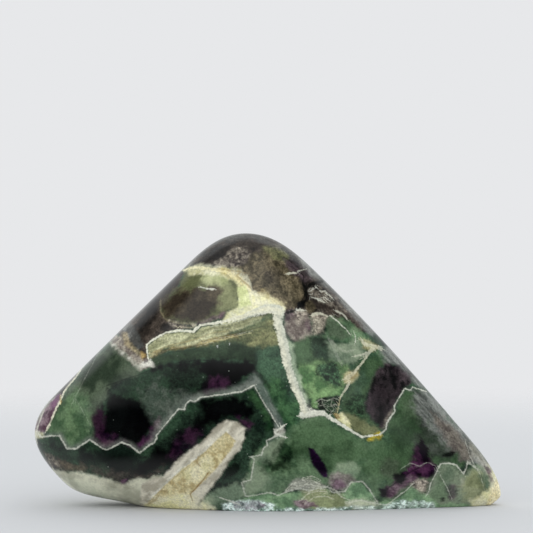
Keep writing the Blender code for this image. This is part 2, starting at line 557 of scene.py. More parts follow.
# A zone's last values are its feather, share, shade, wander and lean, up to the last that isn't the
# usual one. Later zones lie over earlier ones.
ZONES: tuple[Zone, ...] = (
    # The top of the stone, above the yellow crest
    Zone("cap", M.UMBER, ((90, 190), (176, 269), (206, 268), (228, 272), (240, 284), (256, 294), (284, 310),
        (300, 318), (330, 318), (356, 332), (430, 330), (300, 190)), 2),
    Zone("cap's dark left", M.NIGHT, ((196, 262), (206, 252), (220, 243), (236, 246), (232, 256),
        (216, 264), (204, 266)), 7, 0.7, 1, 3),
    Zone("cap's crest", M.SLATE, ((170, 270), (200, 238), (246, 224), (286, 240), (330, 286), (322, 288),
        (282, 252), (250, 238), (226, 241), (202, 256), (184, 272)), 6, 0.4),
    Zone("cap's pink crumbs", M.CRUMB, ((214, 262), (226, 256), (230, 248), (246, 246), (250, 254),
        (246, 262), (234, 267), (220, 267)), 3, 0.8, 0.6, 4, 30),
    Zone("crown's shade", M.NIGHT, ((236, 242), (246, 236), (262, 237), (272, 244), (262, 250), (246, 252)),
        7, 0.45, 1, 3),
    Zone("khaki patch", M.KHAKI, ((246, 262), (254, 252), (268, 248), (280, 256), (288, 267), (299, 277),
        (305, 293), (303, 300), (296, 308), (285, 310), (272, 298), (257, 294), (250, 286), (242, 278),
        (238, 268)), 3.5, 1, 0.75),
    Zone("khaki's mossy top", M.MOSS, ((262, 246), (276, 246), (290, 255), (286, 262), (272, 258)), 5, 0.6),
    Zone("khaki's brown", M.UMBER, ((262, 272), (276, 268), (284, 276), (276, 286), (264, 284)),
        6, 0.45, 1, 4),
    Zone("mauve side", M.PLUM, ((284, 258), (296, 262), (310, 272), (312, 282), (300, 278), (288, 268)),
        6, 0.7, 2.1, 3, -42),
    Zone("broken black", M.NIGHT, ((296, 275), (306, 281), (320, 280), (332, 296), (346, 310), (342, 316),
        (328, 308), (316, 314), (308, 308), (305, 296), (302, 286)), 3, 0.55, 1, 4),
    Zone("broken grey", M.CRUMB, ((310, 286), (324, 286), (338, 298), (348, 312), (340, 318), (330, 306),
        (318, 302), (310, 296)), 3, 0.5, 0.7, 5, -36),
    Zone("broken black notch", M.NIGHT, ((296, 303), (304, 299), (308, 302), (302, 309), (298, 310)), 1.6),
    Zone("mossy chunk", M.KHAKI, ((304, 302), (311, 300), (316, 308), (314, 316), (306, 313)), 2, 0.9, 0.6),
    # Partly painted sheen: lightened beyond its grey mineral, it stands in for light the polish mirrors
    # here.
    Zone("slope grey and painted sheen, upper right", M.SLATE, ((286, 240), (300, 246), (340, 286), (378, 326), (372, 334),
        (338, 300), (308, 268)), 7, 0.75, 1.8, 2, -46),
    # The lens on the left of the top
    Zone("slope umber", M.UMBER, ((176, 268), (186, 272), (176, 290), (163, 302), (160, 308), (163, 316),
        (172, 322), (190, 328), (180, 330), (165, 333), (155, 339), (147, 346), (148, 358), (140, 352),
        (130, 345), (112, 330), (130, 296)), 2.2),
    Zone("slope umber's dark heart", M.NIGHT, ((176, 276), (184, 282), (172, 292), (160, 304), (158, 316),
        (150, 334), (143, 344), (134, 334), (144, 312), (162, 288)), 7, 0.6),
    Zone("smoky facet", M.SLATE, ((122, 328), (130, 322), (138, 334), (143, 346), (136, 350), (127, 340)),
        4, 0.7, 1.7, 2, 60),
    Zone("lens", M.PEAR, ((184, 272), (206, 268.5), (224, 271), (238, 284), (238, 308), (229, 312),
        (226, 316), (211, 321), (194, 324), (176, 322), (165, 318), (160, 306), (168, 296), (180, 286)),
        4, 0.9, 0.75),
    Zone("lens's olive top", M.PEAR, ((186, 271), (204, 270), (206, 280), (196, 288), (182, 288)),
        6, 0.8, 0.85, 3),
    Zone("lens's pale patch", M.PISTACHIO, ((202, 279), (214, 272), (226, 274), (230, 284), (222, 287),
        (208, 287)), 6, 0.75, 0.85, 3),
    Zone("lens's clear corner", M.PEAR, ((222, 286), (237, 286), (238, 307), (228, 310), (216, 306)),
        6, 0.9, 0.9),
    Zone("lens's brown cloud", M.SMOKE, ((160, 306), (168, 297), (180, 291), (192, 288), (204, 287),
        (214, 285), (221, 290), (218, 303), (214, 317), (196, 324), (176, 321), (163, 316)), 9, 1, 0.66, 3),
    Zone("lens's brown glow", M.SMOKE, ((170, 306), (186, 304), (198, 308), (196, 318), (182, 318),
        (170, 314)), 8, 0.5, 0.7, 3),
    Zone("lens's khaki side", M.SMOKE, ((160, 300), (168, 296), (174, 300), (168, 312), (162, 314)),
        5, 0.6, 0.9),
    Zone("lens's rosy foot", M.CRUMB, ((164, 318), (180, 322), (196, 323), (214, 317), (226, 312),
        (226, 316), (210, 322), (192, 329), (174, 328)), 3, 0.6, 1.1, 2, 14),
    Zone("lens's plum foot", M.VIOLET, ((196, 324), (208, 318), (222, 311), (227, 312), (224, 317),
        (212, 321), (200, 327)), 3, 0.5, 1.6, 3),
    # The cream wedge and the olive band beneath it
    Zone("cream wedge", M.CREAM, ((234, 279), (240, 279), (248, 285), (254, 292), (262, 294.5), (270, 295),
        (276, 300), (283.5, 305.5), (286, 310), (281, 315.5), (273.5, 313), (263, 312.5), (250, 315.5),
        (240, 318.7), (228, 321), (221, 323), (226.7, 315.3), (228.3, 312), (238.3, 307.8), (237.5, 286)),
        1.8, 1, 1.2),
    Zone("crest's cream", M.CREAM, ((182, 269), (194, 265), (208, 264.5), (224, 266.5), (236, 271),
        (244, 282), (252, 290), (240, 288), (232, 281), (224, 277), (208, 274.5), (192, 274.5)),
        4, 0.75, 0.95, 2.4),
    Zone("crest's amber", M.AMBER, ((214, 268), (226, 268), (238, 274), (246, 284), (256, 292), (246, 289),
        (236, 281), (224, 274)), 4, 0.5, 0.9, 3),
    Zone("crest's fray", M.CREAM, ((226, 268), (236, 266), (246, 274), (252, 284), (262, 294), (252, 292),
        (242, 284), (232, 276)), 2.4, 0.5, 0.95, 5),
    Zone("wedge's green panel", M.PISTACHIO, ((237.5, 287), (246, 286), (249, 294), (251, 304), (240, 308),
        (238, 308)), 3, 0.85, 1.3),
    Zone("wedge's grey step", M.SAGE, ((224, 318), (229, 312), (240, 308), (250, 306), (246, 311),
        (236, 315)), 4, 0.3, 1.2),
    Zone("wedge's tan fray", M.TAN, ((256, 292), (264, 290), (276, 298), (284, 304), (280, 307),
        (268, 299)), 3, 0.7, 1, 4),
    Zone("olive band", M.OLIVE, ((147.5, 347), (155, 340.3), (165, 334), (180, 331.7), (195, 332.8),
        (201.7, 327), (216.7, 324.2), (230, 321.2), (250, 317.3), (266.7, 313.7), (260, 322),
        (241.7, 328.7), (230, 332), (220, 338.7), (203.3, 341.2), (193.3, 345.3), (178.3, 347),
        (163.3, 348.7), (153.3, 356.2), (149, 358)), 1.8, 1, 1.12, 1.6),
    Zone("mossy ground", M.MOSS, ((206, 341), (222, 338), (232, 332), (244, 328), (262, 321), (272, 312),
        (275, 318), (276, 332), (279, 344), (268, 349), (252, 347), (238, 343), (224, 343), (208, 346),
        (198, 347)), 6, 0.9, 1.15, 3, 12),
    Zone("mossy ground's green", M.LEAF_GREEN, ((244, 326), (258, 319), (270, 313), (274, 318), (262, 326),
        (248, 332)), 4, 0.4, 1, 4, 20),
    Zone("ochre seam", M.OCHRE, ((150, 358), (156, 351), (166, 349), (180, 346.5), (193, 344.5), (204, 340),
        (222, 337), (238, 333), (238, 337), (222, 340.5), (206, 344), (192, 348), (172, 351), (160, 354.5),
        (153, 360)), 2.4, 0.42, 0.75, 3),
    Zone("hazy shelf", M.MOSS_GREEN, ((152, 360), (166, 354), (186, 350), (206, 347), (226, 344),
        (244, 345), (262, 350), (280, 350), (284, 366), (260, 365), (238, 361), (202, 358.5), (176, 361.5),
        (152, 368)), 4, 0.9, 0.4),
    # The node where the left slope's pale vein meets the white line
    Zone("node strip", M.LAVENDER, ((108, 338), (114, 333), (122, 338), (132, 350), (141, 356), (150, 360),
        (152, 366), (146, 369), (139, 371), (132, 366), (124, 356), (114, 350)), 2, 0.85, 1.35, 2, -40),
    Zone("node's khaki", M.KHAKI, ((121, 332), (126, 332), (130, 342), (138, 350), (146, 354), (144, 358),
        (134, 353), (125, 344)), 2.5, 0.8, 2),
    Zone("node's white edge", M.CHALK, ((109, 341), (114, 343), (121, 350), (130, 357), (139, 366),
        (147, 358), (151, 361), (156, 368), (147, 366.5), (139, 371.5), (136, 368), (126, 359.5),
        (118, 354), (111, 347)), 2, 0.85, 1.3, 1.6),
    Zone("node's rust", M.OCHRE, ((141, 352), (147, 353), (149, 359), (144, 361), (141, 357)), 2, 0.6),
    Zone("node's dark spot", M.PLUM, ((143, 358), (148, 357), (149, 361), (145, 363)), 1.5, 0.8),
    # The left body above the zigzag
    Zone("left slope green", M.FERN, ((54, 408), (88, 366), (110, 342), (128, 360), (139, 372), (146, 384),
        (130, 396), (104, 404), (92, 430), (60, 430)), 8, 0.95, 0.95),
    Zone("left slope's shade", M.FERN, ((90, 374), (104, 362), (120, 366), (136, 378), (122, 390),
        (104, 394), (94, 386)), 14, 0.35, 1.2),
    Zone("left leaf", M.LEAF_GREEN, ((48, 430), (56, 414), (64, 398), (76, 390), (88, 398), (95, 414),
        (92, 430), (88, 440), (80, 447), (68, 448), (60, 437)), 10, 1, 0.88),
    Zone("left leaf's glow", M.FRESH_GREEN, ((60, 416), (72, 402), (84, 414), (84, 432), (76, 444),
        (66, 436)), 12, 0.3, 0.7),
    Zone("dark mid band", M.DEEP_GREEN, ((112, 384), (152, 369), (186, 361), (222, 360), (262, 364),
        (276, 374), (268, 380), (252, 372), (231, 387), (226, 392), (200, 397), (180, 406), (160, 430),
        (148, 446), (104, 449), (96, 420), (104, 400)), 5, 1, 0.55),
    Zone("band's mottled green", M.BOTTLE, ((164, 366), (188, 364), (204, 372), (204, 388), (190, 394),
        (172, 390)), 10, 0.85, 0.5, 5),
    Zone("band shade", M.NIGHT, ((150, 370), (176, 362.5), (202, 359.6), (238, 361.5), (262, 366),
        (256, 372), (240, 380), (228, 390), (208, 396), (196, 390), (206, 378), (196, 368), (176, 366)),
        8, 1, 1, 3),
    Zone("band's black heart", M.NIGHT, ((200, 361), (222, 360.8), (250, 364), (252, 370), (243, 378),
        (236, 386), (226, 387), (214, 378), (204, 371)), 6),
    Zone("band's violet", M.VIOLET, ((210, 380), (218, 375), (228, 378), (229, 386), (222, 391), (212, 394),
        (206, 394)), 6, 0.95, 0.4, 7),
    Zone("hazy shoulder", M.HAZE, ((141, 402), (146, 388), (156, 384), (168, 394), (180, 394), (190, 394),
        (186, 402), (176, 410), (166, 422), (157, 434), (150, 440), (150, 424)), 16, 0.3, 0.8, 3),
    Zone("shoulder's mauve", M.LILAC, ((146, 448), (156, 436), (162, 424), (158, 418), (150, 428),
        (146, 438)), 5, 0.35),
    Zone("black pocket", M.NIGHT, ((108, 386), (111, 393), (118, 396), (130, 397), (141, 403), (147, 416),
        (152, 424), (147, 437), (141, 447), (134, 446), (126, 441), (118, 436), (106, 436), (103, 444),
        (99, 436), (103, 424), (106, 410), (106, 396)), 7, 1, 1, 3),
    Zone("pocket's left violet", M.VIOLET, ((92, 424), (96, 408), (103, 402), (106, 412), (105, 430),
        (104, 444), (98, 440)), 6, 0.95, 0.26, 5),
    Zone("pocket's right violet", M.VIOLET, ((138, 442), (146, 434), (153, 426), (155, 434), (148, 444),
        (140, 449)), 5, 0.8, 0.8, 5),
    Zone("pocket's foot violet", M.VIOLET, ((98, 436), (112, 434), (122, 440), (134, 446), (126, 449),
        (110, 448), (100, 445)), 5, 0.8, 0.55, 5),
    Zone("pocket's mauve foot", M.LILAC, ((90, 440), (100, 440), (112, 444), (124, 442), (134, 449),
        (122, 446), (108, 450), (100, 448)), 6, 0.6, 0.4),
    # The left edge: the cream vein and the violet strip outside it
    Zone("edge strip", M.CHALK, ((86, 352), (84, 364), (76, 377), (65, 390), (61, 399), (53.7, 414),
        (47, 430), (44, 434), (26, 440), (26, 400), (60, 366)), 1.2, 0.6, 0.9),
    Zone("edge strip's shade", M.PLUM, ((80, 364), (76, 376), (65, 389), (61, 398), (54, 408), (50, 408),
        (56, 394), (68, 376)), 3, 0.9, 0.9),
    Zone("edge lilac", M.LILAC, ((61, 394), (50, 403), (42, 413), (35, 428), (37, 434), (46, 432),
        (51, 420), (57, 408)), 2.5, 1, 0.62),
    Zone("edge violet", M.VIOLET, ((60, 396), (56, 406), (51, 412), (50, 404), (55, 396)), 4, 0.8, 1.6),
    Zone("nose cream", M.CREAM, ((30, 430), (36, 431), (44, 433), (46, 437), (40, 441), (38, 446),
        (28, 446)), 2.2, 0.6),
    # Between the zigzag and the milky foot
    Zone("under the zigzag", M.DEEP_GREEN, ((28, 440), (40, 438), (52, 436), (60, 436), (67, 449),
        (76, 449), (90, 440), (104, 449), (122, 443), (140, 453), (155, 439), (180, 410), (190, 402),
        (212, 397), (242, 393), (254, 386), (284, 430), (266, 446), (250, 458), (246, 496), (200, 505),
        (150, 482), (128, 484), (98, 474), (62, 471), (40, 462)), 1.6, 1, 0.7),
    Zone("under shade, left", M.NIGHT, ((44, 446), (58, 444), (70, 454), (92, 452), (112, 456), (128, 452),
        (140, 460), (150, 456), (150, 474), (132, 476), (108, 472), (84, 464), (60, 460)), 10, 0.6, 1, 4),
    Zone("under shade, middle", M.NIGHT, ((140, 462), (156, 448), (168, 440), (178, 432), (190, 426),
        (200, 414), (200, 402), (216, 398), (238, 397), (250, 404), (256, 412), (250, 420), (242, 421),
        (234, 417), (224, 417), (212, 424), (196, 438), (180, 452), (164, 468), (148, 476), (136, 474)),
        9, 1, 0.5, 4),
    Zone("shade's heart", M.NIGHT, ((206, 404), (226, 400), (244, 402), (254, 412), (248, 418), (236, 414),
        (224, 414), (212, 416)), 7, 1, 1, 3),
    Zone("under the zigzag's shine", M.BOTTLE, ((160, 446), (172, 428), (186, 414), (198, 408), (202, 416),
        (190, 428), (176, 440), (166, 452)), 9, 0.6, 0.9, 5),
    Zone("green wedge", M.FOREST, ((243, 392), (254, 386), (264, 404), (276, 426), (270, 430), (260, 412),
        (252, 398)), 9, 0.8, 0.85),
    Zone("violet over the tooth", M.VIOLET, ((166, 456), (176, 440), (190, 430), (204, 428), (202, 438),
        (188, 450), (174, 458)), 8, 0.8, 0.4, 7),
    Zone("violet at the tooth's head", M.VIOLET, ((236, 416), (246, 418), (254, 424), (248, 432),
        (244, 424)), 5, 0.8, 0.6, 4),
    Zone("brown fringe", M.UMBER, ((46, 454), (58, 458), (76, 464), (100, 468), (124, 472), (144, 474),
        (162, 468), (164, 474), (150, 478), (137, 479), (120, 482), (100, 476), (80, 471), (58, 469),
        (48, 462)), 8, 0.85, 0.85, 5),
    Zone("fringe's pale crumbs", M.CRUMB, ((44, 454), (54, 456), (62, 466), (54, 468), (46, 460)),
        4, 0.4, 1, 3),
    Zone("fringe's glow", M.SMOKE, ((60, 462), (80, 466), (92, 470), (76, 471), (62, 470)), 7, 0.6, 1.3, 3),
    Zone("right of the tooth", M.BOTTLE, ((248, 430), (262, 438), (256, 454), (250, 460), (246, 480),
        (230, 484), (214, 488), (206, 492), (226, 468), (240, 448)), 6, 0.8, 1.3, 3),
    Zone("dark beside the tooth", M.NIGHT, ((224, 472), (232, 462), (240, 462), (238, 472), (228, 480),
        (220, 484)), 6, 0.8, 1, 4),
    # Partly painted light: the shade above 1 lightens this patch by the base, which the light reaches less.
    Zone("beside the foot", M.SAGE, ((200, 506), (208, 494), (222, 488), (238, 484), (246, 496), (240, 502),
        (222, 504), (210, 512)), 8, 0.8, 1.7, 3),
    # The milky foot and the tooth
    # Near the base, shades above 1 are partly painted light, lightening the foot that the light reaches
    # less.
    Zone("milky foot", M.MILK, ((40, 466), (58.5, 470.3), (69.8, 472), (81, 472), (92.3, 473.5),
        (100.3, 476.8), (111.5, 480), (121.2, 483.2), (130.8, 481.6), (140.5, 478.4), (150, 478.4),
        (161.3, 475), (190, 500), (190, 520), (60, 520)), 4, 1, 1.45, 3),
    Zone("foot's dim head", M.KHAKI, ((60, 471), (90, 474), (112, 481), (128, 484), (150, 480), (160, 477),
        (156, 482), (130, 488), (104, 484), (80, 478), (64, 476)), 8, 0.25, 1.3, 3),
    Zone("foot's green", M.SAGE, ((66, 478), (84, 482), (110, 496), (126, 502), (110, 506), (84, 496)),
        12, 0.3, 1.3),
    Zone("foot's violet drop", M.VIOLET, ((121, 480), (128, 479), (126, 484), (122, 484)), 2.5, 0.6, 1.6),
    Zone("tooth's rim", M.PALE_RIM, ((140, 484), (161.7, 477), (181.7, 457), (206.7, 437), (218.3, 425),
        (226.7, 420), (236.7, 421.5), (245, 428), (245, 437), (239, 450), (232, 460), (226, 467),
        (217, 480), (208, 493), (200, 503), (194, 512), (140, 512)), 3, 0.95, 1.25, 1.6, 48),
    Zone("tooth's rim, bright inside", M.CHALK, ((146, 500), (172, 475), (197, 455), (226.5, 429.5),
        (229, 432), (199, 458), (174, 478), (152, 500)), 2, 0.8, 1.5, 1, 48),
    Zone("tooth's heart", M.TAN, ((226.7, 431.7), (235.8, 440.8), (230, 451.7), (218.3, 466.7),
        (206.7, 478.3), (191.7, 493.3), (194, 504), (190, 512), (140, 512), (150, 500), (173.3, 477),
        (198.3, 457)), 1.3, 1, 1.1, 1, 48),
    Zone("tooth's shaded head", M.TAN, ((225.5, 432), (235, 441), (230, 450), (222, 452), (214, 448),
        (214, 442)), 4, 0.4, 0.9, 3),
    Zone("tooth's pale belly", M.CREAM, ((196, 462), (206, 456), (216, 462), (208, 472), (196, 480),
        (186, 482), (184, 472)), 8, 0.6, 1, 3),
    Zone("tooth's pale foot", M.CREAM, ((146, 505), (158, 498), (176, 492), (188, 494), (197, 502),
        (214, 506), (216, 512), (140, 512)), 8, 0.95, 1.25, 3),
    # Between the right arm of the zigzag and the thick vein
    Zone("arm side", M.DEEP_GREEN, ((255, 352), (282, 345), (290, 385), (303, 410), (304, 420), (290, 430),
        (284, 424), (266, 386), (257, 374)), 5, 1, 1.4),
    Zone("arm side's glow", M.FOREST, ((262, 384), (276, 376), (288, 388), (300, 408), (298, 424),
        (288, 428), (276, 406)), 10, 0.75, 1.5, 3),
    Zone("arm side's shade", M.NIGHT, ((252, 368), (262, 374), (272, 388), (270, 392), (262, 382)),
        4, 0.7, 1, 3, -50),
    Zone("arm's haze", M.SILVER, ((250, 374), (258, 374), (265, 386), (284, 424), (286, 437), (276, 437),
        (277, 427), (262, 400), (254, 386)), 4, 0.7, 0.8, 1.6, -62),
    Zone("zigzag haze", M.SILVER, ((218, 393), (226, 390), (240, 384), (250, 376), (256, 373), (259, 378),
        (254, 385), (242, 391), (226, 394)), 6, 0.5, 0.6, 1.6, 24),
    Zone("arm end's chalk", M.CHALK, ((275, 430), (280, 428), (284.5, 425), (285.5, 437), (280, 435),
        (275, 436)), 1.6, 0.8),
    # The thick vein and what lies right of it
    Zone("lavender patch", M.LAVENDER, ((284, 312), (296, 310), (308, 316), (312, 326), (308, 338),
        (298, 343), (291, 340), (286, 328)), 5, 1, 1.05),
    Zone("patch's bright head", M.CRUMB, ((290, 311), (304, 310), (308, 318), (298, 322), (290, 318)),
        6, 0.5, 1, 4),
    Zone("patch's plum corner", M.VIOLET, ((283, 311), (292, 309), (294, 313), (288, 322), (284, 320)),
        4, 0.7, 0.9),
    Zone("patch's black notch", M.NIGHT, ((285, 312), (292, 309.5), (294, 312), (288, 315)), 2, 1, 0.5),
    Zone("patch's mauve side", M.VIOLET, ((304, 320), (311, 322), (311, 332), (305, 330)), 5, 0.45, 0.9),
    Zone("flecked khaki", M.CRUMB, ((310, 315), (322, 312), (332, 316), (326, 326), (322, 336), (312, 334)),
        6, 0.75, 0.9, 6, -50),
    Zone("slope green", M.LEAF_GREEN, ((330, 318), (346, 318), (366, 338), (384, 356), (372, 352),
        (352, 346), (336, 340), (322, 338)), 6, 0.8, 1.4),
    Zone("upper green", M.FERN, ((325, 320), (336, 319), (348, 326), (350, 336), (340, 340), (328, 336)),
        6, 0.8, 1.15, 3),
    Zone("hazy teal", M.MOSS_GREEN, ((294, 345), (308, 338), (322, 338), (330, 350), (328, 366), (310, 368),
        (296, 366)), 7, 1, 0.95),
    Zone("hazy teal's shade", M.BOTTLE, ((310, 338), (318, 335), (327, 339), (330, 348), (327, 360),
        (316, 361), (311, 350)), 5, 0.85, 1.1, 3),
    Zone("pale green", M.SAGE, ((326, 342), (344, 344), (362, 340), (366, 352), (358, 362), (342, 366),
        (330, 358)), 6, 0.9, 1.1, 5),
    Zone("bright green", M.FRESH_GREEN, ((295, 366), (308, 364), (318, 360), (332, 364), (346, 364),
        (350, 376), (344, 390), (338, 398), (318, 396), (306, 398), (300, 386)), 8, 1, 0.66, 3),
    Zone("bright green's glow", M.FRESH_GREEN, ((296, 372), (303, 366), (313, 366), (319, 372), (321, 380),
        (331, 387), (341, 389), (334, 395), (316, 395), (304, 388)), 4, 0.85, 1.05, 4),
    Zone("bright green's dark spots", M.LACE, ((317, 365), (330, 362), (339, 367), (342, 378), (341, 387),
        (333, 384), (324, 380), (316, 374)), 4, 1, 0.62, 5),
    Zone("vein's soft side", M.SAGE, ((285, 336), (292, 345), (295, 364), (301, 382), (308, 402),
        (304, 404), (296, 384), (289, 364), (285, 348)), 4, 0.85, 2),
    Zone("crackle", M.FRESH_GREEN, ((310, 394), (326, 391), (340, 391), (341, 396), (326, 397), (318, 400),
        (317, 408), (312, 408)), 3, 0.85, 1.1, 3),
    Zone("lacework ground", M.LACE, ((316, 398), (326, 397), (340, 397), (340, 404), (336, 413), (328, 415),
        (320, 410)), 3, 1, 0.3),
    Zone("right green", M.MOSS_GREEN, ((353, 372), (364, 358), (374, 354), (386, 362), (376, 374),
        (367, 396), (366, 412), (378, 428), (354, 420), (342, 410), (342, 400), (350, 386)), 8, 1, 0.72),
    Zone("right green's glow", M.TEAL, ((356, 372), (368, 366), (370, 378), (360, 394), (352, 396)),
        10, 0.5, 1.05),
    Zone("right green's shade", M.LACE, ((346, 400), (356, 392), (364, 396), (367, 410), (362, 424),
        (353, 416), (345, 410)), 6, 0.9, 0.4),
    Zone("slate over the curtain", M.SLATE, ((380, 350), (392, 346), (410, 366), (424, 386), (416, 386),
        (400, 368), (386, 362)), 6, 0.8, 1.5, 3, -46),
    Zone("tan blob", M.TAN, ((344, 375), (349, 371), (357, 370), (358, 376), (351, 383), (345, 383)),
        4, 0.8, 1, 3),
    Zone("tan head", M.TAN, ((361, 339), (368, 340), (380, 346), (376, 350), (369, 352), (364, 348)),
        4, 0.6, 0.9, 3),
    Zone("plum curtain", M.PLUM, ((375, 372), (386, 364), (400, 366), (411, 376), (412, 384), (406, 388),
        (399, 398), (394, 410), (386, 426), (381, 430), (374, 423), (365, 410), (366, 397), (371, 385)),
        4, 0.95, 1, 2, 74),
    Zone("curtain's black", M.NIGHT, ((378, 380), (392, 372), (402, 378), (396, 396), (388, 412),
        (382, 424), (374, 416), (372, 396)), 8, 0.5, 1, 3, 74),
    Zone("curtain's grey foot", M.LAVENDER, ((382, 430), (386, 418), (393, 408), (393, 414), (388, 424),
        (384, 432)), 2.5, 0.6),
    Zone("khaki under the vein", M.PEAR, ((342, 412), (352, 414), (368, 422), (382, 430), (378, 436),
        (362, 436), (352, 430), (346, 420)), 5, 0.85, 0.72, 3, -30),
    Zone("tan patch", M.CREAM, ((336, 414), (342, 412), (348, 420), (352, 429), (346, 427), (338, 420)),
        3, 0.9, 1.15, 2.6),
    Zone("tan patch's rust", M.OCHRE, ((334, 413), (339, 413), (340, 418), (336, 419)), 2, 0.8),
    Zone("amber bit", M.GOLD, ((368, 437.5), (375, 434), (380, 430.5), (382.5, 435), (379, 440),
        (368, 442)), 2.4),
    Zone("fade under the amber", M.SAGE, ((358, 441), (368, 443), (377, 443), (373, 451), (363, 452)),
        6, 0.7),
    # The broad right hand body
    Zone("centre green", M.LEAF_GREEN, ((252, 458), (262, 448), (286, 432), (304, 419), (318, 412),
        (337, 426), (352, 434), (360, 440), (376, 440), (388, 442), (388, 470), (378, 500), (360, 482),
        (344, 492), (328, 487), (300, 488), (270, 493), (246, 497), (250, 470)), 6, 0.8, 1.2),
    Zone("centre's deep green", M.MOSS_GREEN, ((290, 436), (306, 420), (320, 416), (344, 432), (362, 444),
        (366, 460), (344, 464), (326, 468), (308, 456), (296, 462), (288, 450)), 12, 0.85),
    Zone("centre's teal side", M.MOSS_GREEN, ((366, 444), (384, 438), (394, 428), (398, 452), (388, 478),
        (372, 486), (362, 470)), 12, 0.7),
    Zone("pale panel", M.SAGE, ((263, 448), (278, 438), (286, 436), (280, 450), (274, 465), (262, 464),
        (252, 460)), 2.5, 0.75),
    Zone("pale panel's foot", M.SAGE, ((252, 462), (262, 466), (272, 480), (262, 492), (248, 494),
        (243, 483), (250, 480)), 9, 0.6, 1.25),
    Zone("centre's dark spot", M.FOREST, ((278, 448), (290, 444), (296, 454), (292, 466), (284, 470),
        (268, 470), (264, 466), (276, 460)), 12, 0.9, 0.55),
    Zone("dark spot's heart", M.NIGHT, ((282, 458), (290, 456), (288, 466), (272, 470), (272, 466)),
        10, 0.7),
    Zone("centre's pale haze", M.SAGE, ((338, 464), (348, 461), (358, 464), (360, 474), (346, 476),
        (334, 474)), 5, 0.7, 1.6),
    Zone("right body", M.MOSS_GREEN, ((392, 440), (388, 425), (396, 410), (400, 398), (408, 390),
        (420, 390), (436, 408), (458, 440), (468, 462), (458, 468), (448, 463), (440, 464), (428, 494),
        (398, 497), (384, 500), (384, 470)), 6, 0.9, 0.85),
    Zone("right body's moss", M.FERN, ((404, 402), (416, 396), (428, 412), (434, 426), (420, 430),
        (408, 420)), 12, 0.5, 1, 5),
    Zone("right body's shade", M.SLATE, ((420, 420), (436, 424), (450, 440), (456, 456), (440, 462),
        (430, 452), (414, 440)), 12, 0.7, 0.42, 3),
    Zone("right slope dusk", M.SLATE, ((412, 388), (428, 392), (446, 412), (470, 438), (490, 468),
        (480, 468), (470, 462), (460, 460), (446, 446), (430, 430), (418, 412)), 9, 0.9, 1.5, 2, -50),
    Zone("dusk's lilac", M.LAVENDER, ((432, 412), (444, 418), (456, 430), (468, 446), (472, 460),
        (462, 460), (450, 448), (438, 430)), 8, 0.8, 0.7, 2, -50),
    Zone("khaki island", M.FERN, ((381, 462), (390, 458), (400, 462), (398, 474), (388, 478), (380, 470)),
        7, 0.8, 0.85),
    Zone("violet sliver", M.NIGHT_VIOLET, ((308.5, 448), (313, 449.5), (318, 454.5), (323, 462), (327, 470),
        (329, 478.5), (323, 478), (317, 471.5), (312, 462.5), (309, 454)), 2, 1, 0.65, 1.5),
    Zone("violet bloom", M.LILAC, ((330, 476), (338, 472), (348, 474), (356, 480), (350, 486), (342, 491),
        (333, 490), (328, 484)), 5, 0.6, 1, 4),
    Zone("bloom's plum", M.VIOLET, ((332, 480), (342, 480), (346, 486), (338, 490), (331, 488)),
        5, 0.5, 1.8, 3),
    Zone("second sliver's cloud", M.VIOLET, ((412, 454), (418, 446), (426, 450), (434, 456), (436, 466),
        (424, 470), (410, 468)), 7, 1, 0.42, 4),
    Zone("second sliver", M.NIGHT_VIOLET, ((420.5, 436), (424, 441), (429, 449), (430, 460), (427, 466),
        (423, 464), (420.5, 456), (419, 446)), 1.8, 1, 0.12),
    Zone("violet cloud", M.VIOLET, ((404, 466), (416, 460), (436, 462), (439, 472), (430, 478), (418, 480),
        (408, 484), (400, 490), (390, 497), (381, 496), (380, 490), (391, 484), (398, 474)), 4, 1, 0.75, 7),
    Zone("cloud's lilac", M.LILAC, ((386, 490), (398, 480), (410, 476), (424, 480), (430, 484), (424, 492),
        (408, 486), (398, 494), (388, 498)), 5, 0.55, 0.75, 6),
    Zone("cloud's black, left", M.NIGHT, ((379, 489.5), (387, 490), (387, 495), (381, 496.5)), 2.4, 0.95),
    Zone("cloud's black, middle", M.NIGHT, ((394, 474), (402, 472), (407, 478), (403, 485), (397, 482)),
        3, 1, 0.1, 3),
    Zone("cloud's black, right", M.NIGHT, ((416, 473), (422, 473), (423, 478), (417, 479)), 1.8, 0.9),
    Zone("cloud's black, far right", M.NIGHT, ((429, 472), (434, 471), (434, 476), (430, 477)), 3, 0.6),
    Zone("dark chip", M.NIGHT, ((443, 455), (450, 451), (455.5, 452), (453, 456), (445, 458)), 2, 0.9),
    Zone("pale mottle", M.CRUMB, ((411, 484), (418, 479), (429, 478), (430, 484), (427, 493), (418, 495)),
        6, 0.75, 1.15, 4),
    # The tip
    Zone("tip green", M.SAGE, ((441, 464), (448, 463), (459, 468), (464, 474), (472, 464), (482, 464),
        (500, 480), (500, 512), (430, 512), (428, 494), (436, 474)), 4, 0.7, 1.15),
    Zone("tip's olive", M.PEAR, ((464, 476), (472, 468), (480, 474), (486, 486), (484, 500), (466, 500),
        (462, 488)), 11, 0.7, 0.95, 6),
    Zone("tip's dark triangle", M.MOSS_GREEN, ((440.6, 475), (446, 486), (452, 499), (430, 502),
        (430, 494)), 4, 0.6, 1.2),
    Zone("tip's pale flake", M.MILK, ((459, 479), (465, 477), (465, 484), (461, 487)), 3, 0.4),
    Zone("tip's violet", M.VIOLET, ((447, 488), (452, 484), (458, 490), (456, 500), (450, 500)),
        5, 0.7, 0.8, 3),
    Zone("tip's black dot", M.NIGHT, ((440.5, 498), (444.5, 497), (445, 501), (441, 502)), 1.4, 0.9),
    Zone("tip's cream", M.CREAM, ((486, 462), (500, 474), (512, 500), (508, 512), (470, 512), (470, 502),
        (480, 497), (489, 490), (491, 480)), 7, 0.75, 1.6, 3),
